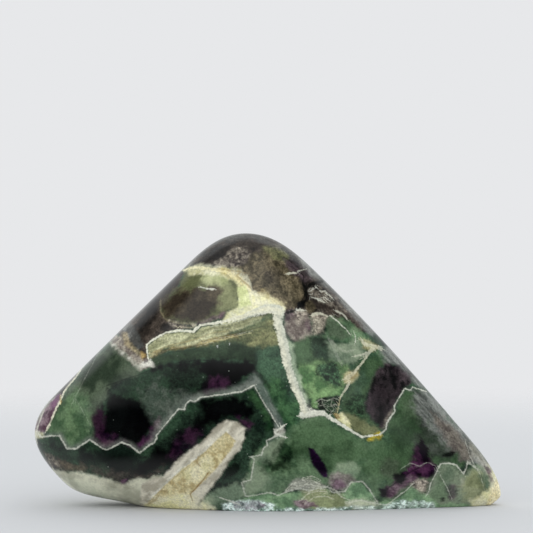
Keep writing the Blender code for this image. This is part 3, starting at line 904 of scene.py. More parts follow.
    Zone("slope's pale facet", M.CHALK, ((466, 440), (474, 445), (485, 457), (494, 470), (487, 472),
        (479, 464), (472, 454)), 5, 0.7, 0.85, 2, -50),
    Zone("tip's raw corner", M.RAW_CREAM, ((494, 483), (499, 479), (510, 490), (506, 512), (490, 512),
        (486, 502), (491, 494)), 4, 0.9, 1.1, 3),
    Zone("edge violet spot", M.VIOLET, ((484, 466), (488, 466), (491.5, 472), (489, 475)), 2, 0.75),
    Zone("edge violet dash", M.VIOLET, ((488, 475), (491, 475), (494, 481), (491, 482)), 2.2, 0.55),
    # The foot strip along the base
    # The shades above 1 here are partly painted light, lightening the foot that the light reaches less.
    Zone("thick vein's foot", M.CHALK, ((302, 410), (307, 407), (312, 409), (319, 411), (325, 411),
        (326, 415), (316, 416), (308, 418), (302, 417)), 1.4, 0.95, 0.95),
    Zone("foot strip", M.LEAF_GREEN, ((236, 500), (250, 496), (272, 493), (284, 494), (300, 490),
        (310, 491), (328, 488), (332, 494), (345, 493), (352, 483), (362, 482), (377, 502), (398, 498),
        (412, 486), (428, 496), (440, 504), (470, 504), (470, 520), (230, 520)), 4, 0.8, 2.3),
    Zone("tufts", M.CHALK, ((286, 492), (292, 482), (300, 478), (312, 479), (324, 484), (330, 488),
        (320, 490), (308, 493), (296, 490)), 6, 0.75, 0.62, 4, 12),
    Zone("foot strip's cream", M.PEAR, ((302, 494), (316, 490), (330, 492), (344, 496), (350, 506),
        (330, 514), (312, 512), (300, 504)), 8, 0.8, 1.1, 3),
    Zone("foot strip's dark", M.LILAC, ((294, 501), (302, 498), (314, 500), (316, 506), (304, 510),
        (296, 508)), 5, 0.3, 1.2, 3),
    Zone("foot strip's right flakes", M.MILK, ((346, 502), (360, 498), (376, 502), (384, 508), (360, 514),
        (346, 512)), 5, 0.65, 2.2, 3),
    # Partly painted glints: the chips' near-white colour stands in for light sparkling on the broken base.
    Zone("foot chips and glints, left", M.RAW_CHIP_AND_GLINT, ((222, 504), (240, 500), (262, 501), (276, 504), (270, 514),
        (224, 514)), 3, 0.9, 2.1, 3),
    Zone("foot chips and glints, middle", M.RAW_CHIP_AND_GLINT, ((276, 507), (300, 508), (330, 508), (352, 507), (352, 516),
        (276, 516)), 3, 0.9, 2.1, 3),
    Zone("foot chips and glints, right", M.RAW_CHIP_AND_GLINT, ((352, 507), (380, 505), (400, 501), (414, 500), (432, 502),
        (440, 512), (352, 516)), 3, 0.75, 1.5, 3),
    Zone("foot chips' violet, left", M.VIOLET, ((230, 503), (238, 501), (246, 503), (256, 501), (266, 504),
        (262, 509), (246, 509), (234, 508)), 2, 0.5, 2.4, 5),
    Zone("foot chips' violet, right", M.LILAC, ((294, 502), (304, 499), (315, 502), (318, 506), (306, 509),
        (297, 508)), 2, 0.85, 1, 4),
)

# A vein's last values are its widths, tone, strength, halo and haze, in the same way.
VEINS: tuple[Vein, ...] = (
    Vein("left edge vein", ((88, 360), (84, 365.5), (76, 377), (65, 390), (61, 399), (53.7, 414),
        (47, 430)), (0.9, 2), 0.35, 0.85),
    Vein("left edge spot", ((60.4, 398), (60.8, 402)), (2, 2), 2, 0.9),
    Vein("nose rim", ((37, 446), (36, 436), (38, 425), (44, 411)), (1.6, 1), 0.2, 0.6),
    Vein("left growth line", ((100, 350), (88, 372), (78, 392), (72, 404)), (0.7, 0.8), 0, 0.13),
    Vein("left growth line, crossing", ((74, 396), (82, 410), (90, 424)), (0.7, 0.7), 0, 0.1),
    Vein("zigzag, left", ((38, 434), (41, 437), (52, 435.7), (59.5, 435.7), (66.7, 448.7), (76, 448.7),
        (89.7, 439.5), (103.5, 449), (107.3, 449.5), (121.8, 442.2), (129.5, 445.2), (139.8, 452.9),
        (148, 446), (154, 442.5), (157, 437.5), (156, 436)), (1.5, 1.5), 0, 0.6, 6, 0.45),
    Vein("zigzag, middle", ((156, 436), (178, 409), (184.4, 409.6), (185.6, 404.4), (189.6, 400.4),
        (194.8, 401.6), (200.5, 397.5), (211.4, 396), (241.8, 391.6), (254.3, 385.4)),
        (1.2, 1.3), 0, 0.62, 9, 0.5),
    Vein("zigzag, arm's inner side", ((254.3, 385.4), (262, 399.6), (279, 427.4)), (1, 1.2), 0, 0.5),
    Vein("arm's node", ((284.4, 425.5), (279, 429), (275, 432.5), (278.5, 435.5), (285.5, 437)),
        (1.8, 1.6), 0, 0.8),
    Vein("zigzag, steps", ((278.3, 435), (266.7, 440.8), (267.5, 445.8), (263.3, 448.3), (261.7, 455),
        (251.7, 456.7), (254.2, 460), (250.8, 480), (241.7, 482.5), (245, 495), (246.7, 496.7)),
        (1.2, 1.3), 0, 0.5, 5, 0.25),
    Vein("zigzag, foot", ((246.7, 496.7), (256.7, 495), (270, 492.5), (273.3, 493.3), (278.3, 495.8),
        (286.7, 491.7), (299.2, 488.2), (309, 490.4), (328.2, 486.6), (332, 492.6), (344.6, 491.8),
        (351.3, 482.2), (362.4, 481.4), (369, 489), (377.3, 502.2)), (1.3, 1.3), 0.05, 0.5, 3, 0.25),
    Vein("right zigzag, rise", ((386.6, 505.2), (398.2, 496.1), (406.5, 490.3), (413.2, 483.6)),
        (1.1, 1.2), 0, 0.5),
    Vein("right zigzag, crown", ((427, 494.3), (429.1, 491.4), (430.6, 484.3), (434.9, 475.7),
        (440.6, 463.6), (449.1, 463.2), (456.3, 465), (460.6, 470), (463.6, 474.3), (466.3, 467.1),
        (467.3, 461.8), (472, 465), (478, 470)), (1.2, 1.1), 0, 0.55, 3, 0.2),
    Vein("right zigzag, inner line", ((440.6, 475.7), (446.3, 486), (452, 498.6)), (0.8, 0.7), 0, 0.35),
    Vein("curtain's edge", ((425.6, 391.4), (420.6, 389.3), (414.9, 387.9), (412.7, 387.1), (410.6, 390.7),
        (404.9, 388.6), (399.1, 397.9), (394.1, 406.4), (394.9, 411.4), (390.6, 417.1), (387, 422.9),
        (385.6, 430), (380.6, 433.6)), (1, 1.5), 0, 0.62, 3, 0.2),
    Vein("curtain's foot", ((380.6, 434.5), (370.6, 435.7), (362, 437.1), (347.7, 428.6), (338, 422.5),
        (329, 417)), (1.4, 3.4), 0.12, 0.92, 3, 0.3),
    Vein("thick vein's foot", ((329, 417), (323.4, 413.4), (314.9, 412.6), (309, 414.5), (302, 415.5)),
        (3.6, 6), 0.1, 0.95, 4, 0.4),
    Vein("thick vein", ((277, 318), (280, 331), (282.4, 340), (285, 352), (287.5, 364), (290.8, 376),
        (295.6, 388), (300.5, 399), (304.6, 409), (306, 413)), (9.4, 6.4), 0.3, 1, 9, 0.6),
    Vein("thick vein's head", ((282, 311), (279, 318), (279, 326)), (6, 8), 0.3, 0.95),
    Vein("white line", ((148.3, 359.5), (147.2, 352), (146.7, 345.3), (150, 341.5), (155, 338.7),
        (165, 332.8), (180, 330.3), (193.3, 331.6), (200, 325.3), (216.7, 322.6), (228, 320), (242, 317),
        (254, 314), (266, 311.5), (278, 311.5)), (1.4, 3.6), 0.25),
    Vein("yellow crest", ((184, 270), (190, 268), (198, 267.4), (206, 268.6), (216, 270)),
        (1.6, 3.6), 0.7, 0.85, 7, 0.45),
    Vein("yellow crest, top", ((216, 270), (226, 271.5), (233, 277), (240, 283)), (3.4, 2.2), 1, 0.7),
    Vein("ochre fringe", ((219, 269.5), (230, 270.5), (242, 271.5), (236, 275), (244, 282), (250, 287)),
        (1.2, 1.6), 2, 0.6),
    Vein("wedge's bright foot", ((228, 320), (242, 317), (256, 311), (268, 306.5), (279, 309)),
        (3, 7.5), 0.35, 0.95),
    Vein("wedge's seam", ((247, 286), (250, 294), (252, 304)), (1.2, 0.8), 0.4, 0.6),
    Vein("lens's streak", ((201, 287.5), (207, 288.6), (213, 289.2)), (1.2, 1.6), 0.1, 0.8),
    Vein("lens's left rim", ((160.5, 301), (160.5, 312), (166, 320), (178, 323), (192, 324)),
        (1.4, 2.4), 1.2, 0.1),
    Vein("tan vein, head", ((362, 340), (366, 345), (371, 345), (375, 346.5), (381, 348.6)),
        (2.6, 4), 0.3, 0.45),
    Vein("tan vein, bow", ((373, 348), (367.7, 353.5), (361, 354.5), (355, 356.5)), (4, 1.8), 0.3, 0.45),
    Vein("tan vein, neck", ((368, 355), (363.4, 361.4), (358, 368), (354, 373)), (1.6, 2.6), 0.4, 0.55),
    Vein("tan vein, blob", ((354, 373), (350, 376.5), (346, 378.5)), (4, 5), 0.4, 0.4),
    Vein("tan vein, tail", ((349, 383), (345, 390), (340.6, 397)), (2.6, 1.6), 0.4, 0.55),
    Vein("tan vein, thread", ((340.6, 397), (338.6, 406), (337, 414)), (0.9, 0.9), 0.9, 0.4),
    Vein("white squiggle", ((331, 316.4), (337, 320.5), (342, 325.7), (346, 329), (349.1, 333.4)),
        (1.2, 0.9), 0.1, 0.65),
    Vein("white squiggle, drop", ((354.2, 332.9), (355.4, 337), (355.4, 342)), (0.9, 1.2), 0.1, 0.6),
    Vein("broken fleck one", ((288, 273.5), (293, 272.6), (297, 273)), (2.6, 1.6), 0.3, 0.6),
    Vein("broken fleck two", ((298, 271), (304.5, 269.5)), (1.2, 1), 0.2, 0.5),
    Vein("broken fleck three", ((319, 300), (325, 302.5)), (1.8, 1.2), 0.2, 0.6),
    Vein("broken fleck four", ((326, 293), (332, 298)), (1.4, 1.4), 0.2, 0.55),
    Vein("broken fleck five", ((297, 309.5), (303, 310.5)), (2.6, 1.8), 0.25, 0.7),
    Vein("broken fleck six", ((313, 315), (320, 313.5), (327, 316)), (3, 2), 0.35, 0.6),
    Vein("broken fleck seven", ((336, 311), (343, 314), (347, 319)), (2.2, 1.4), 0.2, 0.5),
    Vein("black crack", ((304.5, 292), (307, 298), (302, 306), (293, 311)), (1, 1.6), -1, 0.85),
    Vein("shelf's black edge", ((178, 362.6), (190, 361), (202, 359.8), (216, 361)), (0.8, 1.2), -1, 0.6),
    Vein("pocket's fissure", ((153, 368.5), (138, 375), (120, 381), (106, 386)), (0.9, 1.2), -1, 0.5),
    Vein("seam's shadow", ((152, 361), (170, 352.5), (192, 349.5), (212, 344)), (0.8, 1), -1, 0.35),
    Vein("tooth's crack", ((208, 473), (203, 480), (196, 488), (190, 494), (192, 500)),
        (1.6, 1.2), 2.4, 0.7),
    Vein("tooth's stain", ((198, 457.5), (197, 463), (200, 466)), (1.6, 1.4), 2, 0.6),
    Vein("tooth's seam", ((205, 452.5), (190, 465), (172, 480), (156, 494)), (0.9, 0.9), 2, 0.35),
    Vein("tooth's left stain", ((158, 496), (154, 501), (148, 504)), (2.4, 1.2), 2, 0.5),
    Vein("foot flake line", ((220, 497.5), (230, 501), (240, 505)), (1.2, 1.2), 0, 0.6),
    Vein("tuft, first", ((286, 490), (292, 484), (301, 480), (311, 480), (320, 484)), (0.9, 1.1), 0.2, 0.5),
    Vein("tuft, second", ((290, 491), (298, 486), (308, 484), (318, 486), (326, 487)),
        (0.9, 1.2), 0.2, 0.5),
    Vein("tuft, third", ((297, 484), (303, 478), (312, 476), (319, 479)), (0.8, 0.9), 0.2, 0.45),
    Vein("tuft, fourth", ((302, 499), (309, 493), (318, 491), (327, 492)), (1.2, 1), 0.3, 0.55),
    Vein("tuft, fifth", ((306, 503), (314, 497), (325, 496), (333, 499)), (1, 1), 0.3, 0.5),
    Vein("tuft, sixth", ((330, 488), (337, 491), (341, 497), (350, 500)), (1.4, 1), 0.2, 0.5),
    Vein("foot flake, right", ((349, 503), (360, 500), (372, 503), (384, 505)), (2.2, 1.2), 0, 0.6),
    Vein("cloud thread", ((402, 468), (410, 463), (419, 466), (428, 462), (436, 466)), (0.7, 0.7), 0, 0.25),
    Vein("cloud's black thread", ((384, 491), (394, 484), (404, 476), (414, 470), (424, 466)),
        (1.6, 0.9), -1, 0.6),
    Vein("slope thread", ((465, 441), (470, 456), (475, 466), (480, 470)), (0.8, 0.9), 0, 0.35),
    Vein("streak in the pale green, first", ((327, 336), (331, 343), (335, 352), (341, 363)),
        (1.6, 3), 0.1, 0.14),
    Vein("streak in the pale green, second", ((331, 341), (337, 348), (346, 352), (354, 350)),
        (3, 2), 0.2, 0.14),
    Vein("moss thread, dark", ((203, 341.5), (214, 339), (226, 335.5), (238, 333), (252, 329), (264, 326)),
        (1.2, 1), -1, 0.35),
    Vein("moss thread, pale", ((198, 344), (212, 341), (224, 339.5), (236, 336), (250, 333)),
        (1.8, 1), 1, 0.35),
    Vein("moss thread, ochre", ((150, 354), (165, 347), (180, 343), (197, 339), (212, 333), (228, 331)),
        (1.4, 1), 2, 0.35),
    Vein("moss thread, green", ((214, 328), (228, 326.5), (242, 322), (256, 318), (268, 314)),
        (1.4, 2), -1, 0.3),
    Vein("lace thread, first", ((316, 402), (321, 399), (327, 401), (333, 398), (340, 400)),
        (1, 0.8), 0.2, 0.3),
    Vein("lace thread, second", ((319, 406), (325, 404), (329, 407), (335, 404), (339, 407)),
        (0.8, 0.8), 0.2, 0.28),
    Vein("lace thread, third", ((322, 399), (323, 405), (327, 410), (332, 413)), (0.8, 0.8), 0.2, 0.28),
    Vein("lace thread, fourth", ((333, 398), (331, 404), (334, 409), (331, 413)), (0.8, 0.8), 0.2, 0.28),
    Vein("black fissure", ((298, 305), (303, 299), (306, 293), (307, 287), (313, 283), (322, 281)),
        (1.6, 3.4), -1, 0.8),
    Vein("black fissure, upper", ((307, 289), (303, 283), (304, 276), (300, 272)), (2.4, 0.9), -1, 0.7),
    Vein("black fissure, right", ((311, 285), (318, 290), (325, 289), (331, 294)), (2.2, 0.9), -1, 0.6),
    Vein("flake in the fissure, first", ((310, 291), (316, 287), (321, 292), (327, 291)),
        (1.4, 0.9), 0.1, 0.5),
    Vein("flake in the fissure, second", ((312, 297), (318, 299), (324, 297), (330, 301)),
        (1.5, 0.9), 0.1, 0.55),
    Vein("tip line", ((470, 462), (480, 474), (484, 488)), (0.8, 0.7), 0.2, 0.3),
)


def near_box(places: np.ndarray, corners: Sequence[Point], margin: float) -> np.ndarray:
    """Which places lie in the box round some corners, with a margin."""
    low = np.min(corners, axis=0) - margin
    high = np.max(corners, axis=0) + margin
    return np.nonzero(((places > low) & (places < high)).all(axis=1))[0]


def path_distance(places: np.ndarray, path: Sequence[Point]) -> tuple[np.ndarray, np.ndarray, np.ndarray]:
    """How far places are from a path.

    Args:
        places: columns and rows, one row each.
        path: the path's points.

    Returns:
        The distances, the side of the path, and the share of its length at the nearest point.
    """
    corners = np.array(path, float)
    lengths = np.linalg.norm(np.diff(corners, axis=0), axis=1)
    starts = np.concatenate([[0.0], np.cumsum(lengths)])
    nearest = np.full(len(places), np.inf)
    share = np.zeros(len(places))
    side = np.ones(len(places))
    for index, length in enumerate(lengths):
        along = (corners[index + 1] - corners[index]) / max(length, TINY)
        offset = places - corners[index]
        reach = np.clip(offset @ along, 0.0, length)
        gap = np.linalg.norm(offset - reach[:, None] * along, axis=1)
        closer = gap < nearest
        nearest = np.where(closer, gap, nearest)
        share = np.where(closer, (starts[index] + reach) / starts[-1], share)
        turned = along[0] * offset[:, 1] - along[1] * offset[:, 0]
        side = np.where(closer, np.where(turned < 0, -1.0, 1.0), side)
    return nearest, side, share


def inside_distance(places: np.ndarray, outline: Sequence[Point]) -> np.ndarray:
    """How deep places lie inside a closed outline, below 0 outside it."""
    corners = np.array(outline, float)
    gap, _, _ = path_distance(places, [*outline, outline[0]])
    inside = np.zeros(len(places), bool)
    for start, end in zip(corners, np.roll(corners, -1, axis=0)):
        crosses = (start[1] > places[:, 1]) != (end[1] > places[:, 1])
        rise = (end[1] - start[1]) or 1.0
        column = start[0] + (places[:, 1] - start[1]) * (end[0] - start[0]) / rise
        inside ^= crosses & (places[:, 0] < column)
    return np.where(inside, gap, -gap)


@dataclass
class Paint:
    """What the pattern lays on each point of the stone."""

    tint: np.ndarray
    grain: np.ndarray
    dust: np.ndarray
    raw: np.ndarray

    def lay(self, rows: np.ndarray, cover: np.ndarray, tint: np.ndarray, look: Look) -> None:
        """Lays one mineral over some of the points.

        Args:
            rows: which points.
            cover: how much of it each gets.
            tint: its colour at each.
            look: the mineral's look.
        """
        self.tint[rows] += cover[:, None] * (tint - self.tint[rows])
        for values, aim in ((self.grain, look.grain), (self.dust, look.dust), (self.raw, look.raw)):
            values[rows] += cover * (aim - values[rows])


@dataclass
class BandPattern:
    """Carries the zones and veins into the stone as sheets that tilt and wander with depth.

    Args:
        view: the view in whose units they are drawn.
        tilt: how far the sheets lean, across and up, for each millimetre of depth.
        drift: how far they wander, in millimetres, and drift_size how broadly.
        skin: how far before the stone's middle they start to lean, in millimetres.
        settle: the depth over which the lean sets in.
        stray_size: the size of the fraying of their edges, in millimetres.
        vein_stray: how far the veins fray, in picture units.
        haze_lean: how much narrower a vein's haze is on one side.
        haze_cloud: the least of a haze's clouds, and what the noise adds.
        haze_size: the size of those clouds, in millimetres.
        crumble: how strongly a faded edge crumbles, and crumb_size into what.
        stray_keep, crumb_keep, figure_keep: the strength of each finer layer of a noise.
        figure_span: the part of a figure's noise that runs from dark to light.
        brightest: the most that a colour may reach, as linear light.
        reach: how far from a vein its distance is kept, in picture units.
        seed: the first noise's seed.
    """

    view: LevelView
    tilt: Point = (0.55, -0.34)
    drift: float = 6.4
    drift_size: float = 17.0
    skin: float = 1.0
    settle: float = 9.0
    stray_size: float = 2.6
    stray_keep: float = 0.75
    vein_stray: float = 0.9
    haze_lean: float = 4.0
    haze_cloud: Point = (0.4, 1.2)
    haze_size: float = 2.4
    crumble: float = 1.1
    crumb_size: float = 1.5
    crumb_keep: float = 0.8
    figure_keep: float = 0.72
    figure_span: Point = (0.3, 0.7)
    brightest: float = 0.84
    reach: float = 6.0
    seed: int = 21

    def __post_init__(self) -> None:
        """Draws the noises."""
        self.noises = [SmoothNoise(self.seed + step) for step in range(6)]

    def lookup(self, points: np.ndarray) -> np.ndarray:
        """Where in the picture each point of the stone takes its pattern from."""
        behind = np.maximum(points[:, 1] + self.skin, 0.0)
        settled = smooth_step(behind, 0.0, self.settle)
        moved = points.copy()
        moved[:, 1] = np.minimum(points[:, 1], 0.0)
        for axis, noise, tilt in ((0, 0, self.tilt[0]), (2, 1, self.tilt[1])):
            stray = self.noises[noise].at(points, self.drift_size) - 0.5
            moved[:, axis] += settled * (tilt * behind + self.drift * stray)
        return self.view.picture_places(moved)

    def paint(self, mesh: bpy.types.Mesh, points: np.ndarray) -> None:
        """Writes the stone's colours and the veins' distances on the mesh.

        Args:
            mesh: the stone's mesh.
            points: its points, in millimetres.
        """
        places = self.lookup(points)
        strays = [
            noise.layered(points, self.stray_size, 4, self.stray_keep) - 0.5 for noise in self.noises[2:4]
        ]
        stray = np.stack(strays, axis=1)
        paint = self._zones(points, places, stray)
        self._hazes(paint, points, places)
        veins = self._veins(places + self.vein_stray * stray)
        layer = mesh.attributes.new("tint", "FLOAT_COLOR", "POINT")
        full = np.ones((len(points), 4), np.float32)
        full[:, :3] = paint.tint
        layer.data.foreach_set("color", full.ravel())
        for name, values in {"grain": paint.grain, "dust": paint.dust, "raw": paint.raw, **veins}.items():
            layer = mesh.attributes.new(name, "FLOAT", "POINT")
            layer.data.foreach_set("value", values.astype(np.float32))

    def _tint(self, look: Look, points: np.ndarray, lean: float) -> np.ndarray:
        """A mineral's colour at some points."""
        size, layers, stretch = look.figure.value
        turn = math.radians(lean)
        along = points[:, 0] * math.cos(turn) + points[:, 2] * math.sin(turn)
        across = points[:, 2] * math.cos(turn) - points[:, 0] * math.sin(turn)
        places = np.stack([along / stretch, points[:, 1], across], axis=1)
        figure = self.noises[4].layered(places, size, layers, self.figure_keep)
        share = smooth_step(figure, *self.figure_span)[:, None]
        return np.array(srgb(*look.dark)[:3]) * (1 - share) + np.array(srgb(*look.light)[:3]) * share

    def _zones(self, points: np.ndarray, places: np.ndarray, stray: np.ndarray) -> Paint:
        """Lays the zones one over another."""
        count = len(points)
        paint = Paint(np.zeros((count, 3)), *(np.zeros(count) for _ in range(3)))
        crumbs = self.noises[5].layered(points, self.crumb_size, 3, self.crumb_keep)
        ground = Mineral.DEEP_GREEN.value
        paint.lay(np.arange(count), np.ones(count), self._tint(ground, points, 0.0), ground)
        for zone in ZONES:
            moved = places + zone.wander * stray
            rows = near_box(moved, zone.outline, zone.feather)
            depth = inside_distance(moved[rows], zone.outline)
            depth += zone.feather * self.crumble * (crumbs[rows] - 0.5)
            cover = zone.share * smooth_step(depth, -zone.feather / 2, zone.feather / 2)
            look = zone.mineral.value
            tint = self._tint(look, points[rows], zone.lean) * zone.shade
            tint *= np.minimum(self.brightest / tint.max(axis=1), 1.0)[:, None]
            paint.lay(rows, cover, tint, look)
        return paint

    def _hazes(self, paint: Paint, points: np.ndarray, places: np.ndarray) -> None:
        """Lays the pale haze that runs beside some of the veins."""
        look = Mineral.HAZE.value
        least, more = self.haze_cloud
        for vein in VEINS:
            if not vein.halo:
                continue
            rows = near_box(places, vein.path, vein.halo)
            gap, side, _ = path_distance(places[rows], vein.path)
            gap = np.where(side > 0, gap * self.haze_lean, gap)
            cloud = least + more * self.noises[5].layered(points[rows], self.haze_size, 3)
            cover = np.clip(vein.haze * cloud * (1.0 - smooth_step(gap, 0.0, vein.halo)), 0.0, 1.0)
            paint.lay(rows, cover, self._tint(look, points[rows], 0.0), look)

    def _veins(self, places: np.ndarray) -> dict[str, np.ndarray]:
        """The nearest vein of each place.

        Args:
            places: columns and rows, one row each.

        Returns:
            Its distance with and without a side, its half width, its tone and its strength.
        """
        count = len(places)
        names = ("vein_side", "vein_gap", "vein_half", "vein_tone", "vein_strength")
        found = {name: np.zeros(count) for name in names}
        found["vein_side"] += self.reach
        found["vein_gap"] += self.reach
        depth = np.full(count, -self.reach)
        for vein in VEINS:
            rows = near_box(places, vein.path, max(vein.width) / 2 + self.reach)
            gap, side, share = path_distance(places[rows], vein.path)
            half = (vein.width[0] + (vein.width[1] - vein.width[0]) * share) / 2
            nearer = half - gap > depth[rows]
            rows, gap, side, half = rows[nearer], gap[nearer], side[nearer], half[nearer]
            depth[rows] = half - gap
            found["vein_side"][rows] = gap * side
            found["vein_gap"][rows] = gap
            found["vein_half"][rows] = half
            found["vein_tone"][rows] = vein.tone
            found["vein_strength"][rows] = vein.strength
        return found


class Signal:
    """A socket of the material's graph, with arithmetic written as expressions."""

    def __init__(self, graph: "Graph", socket: bpy.types.NodeSocket) -> None:
        """Wraps an output socket."""
        self.graph = graph
        self.socket = socket

    def __add__(self, other: Any) -> "Signal":
        """Sum."""
        return self.graph.number("ADD", self, other)

    def __sub__(self, other: Any) -> "Signal":
        """Difference."""
        return self.graph.number("SUBTRACT", self, other)

    def __rsub__(self, other: Any) -> "Signal":
        """Difference, number first."""
        return self.graph.number("SUBTRACT", other, self)

    def __mul__(self, other: Any) -> "Signal":
        """Product."""
        return self.graph.number("MULTIPLY", self, other)

    def size(self) -> "Signal":
        """The value without its sign."""
        return self.graph.number("ABSOLUTE", self)

    def at_most(self, other: Any) -> "Signal":
        """The lower of two values."""
        return self.graph.number("MINIMUM", self, other)

    def at_least(self, other: Any) -> "Signal":
        """The higher of two values."""
        return self.graph.number("MAXIMUM", self, other)

    def eased(self, low: float, high: float) -> "Signal":
        """Eased from 0 at low to 1 at high."""
        settings = {"interpolation_type": "SMOOTHSTEP"}
        span = {"Value": self, "From Min": low, "From Max": high}
        return self.graph.signal("ShaderNodeMapRange", settings, span)


class Graph:
    """Builds the nodes of a material or of the world."""

    def __init__(self, owner: bpy.types.Material | bpy.types.World) -> None:
        """Empties the owner's tree to build in it."""
        owner.use_nodes = True
        self.tree = owner.node_tree
        self.tree.nodes.clear()

    def node(self, kind: str, settings: dict[str, Any], inputs: dict[Any, Any]) -> bpy.types.Node:
        """Adds a node.

        Args:
            kind: the node's type.
            settings: its own settings, set first.
            inputs: values or signals by socket name or index.

        Returns:
            The node.
        """
        node = self.tree.nodes.new(kind)
        for name, value in settings.items():
            setattr(node, name, value)
        for key, value in inputs.items():
            if isinstance(value, Signal):
                self.tree.links.new(value.socket, node.inputs[key])
            else:
                node.inputs[key].default_value = value
        return node

    def signal(
        self, kind: str, settings: dict[str, Any], inputs: dict[Any, Any], output: int | str = 0
    ) -> Signal:
        """Adds a node and gives one of its outputs, the first unless another is named."""
        return Signal(self, self.node(kind, settings, inputs).outputs[output])

    def number(self, operation: str, *values: Any) -> Signal:
        """A Math node over some values."""
        return self.signal("ShaderNodeMath", {"operation": operation}, dict(enumerate(values)))

    def attribute(self, name: str, output: str = "Fac") -> Signal:
        """A value stored on the mesh."""
        return self.signal("ShaderNodeAttribute", {"attribute_name": name}, {}, output)

    def mix(self, share: Any, first: Any, second: Any) -> Signal:
        """A colour share of the way from first to second."""
        return self.signal("ShaderNodeMix", {"data_type": "RGBA"}, {0: share, 6: first, 7: second}, 2)

    def scaled(self, colour: Any, share: Any) -> Signal:
        """A colour or vector times a number."""
        return self.signal("ShaderNodeVectorMath", {"operation": "SCALE"}, {0: colour, "Scale": share})

    def summed(self, first: Any, second: Any) -> Signal:
        """Two colours or vectors added."""
        return self.signal("ShaderNodeVectorMath", {"operation": "ADD"}, {0: first, 1: second})

    def noise(self, place: Signal, scale: float, detail: float, output: int | str = 0) -> Signal:
        """Noise from 0 to 1, or another of the noise's outputs."""
        inputs = {"Vector": place, "Scale": scale, "Detail": detail}
        return self.signal("ShaderNodeTexNoise", {}, inputs, output)


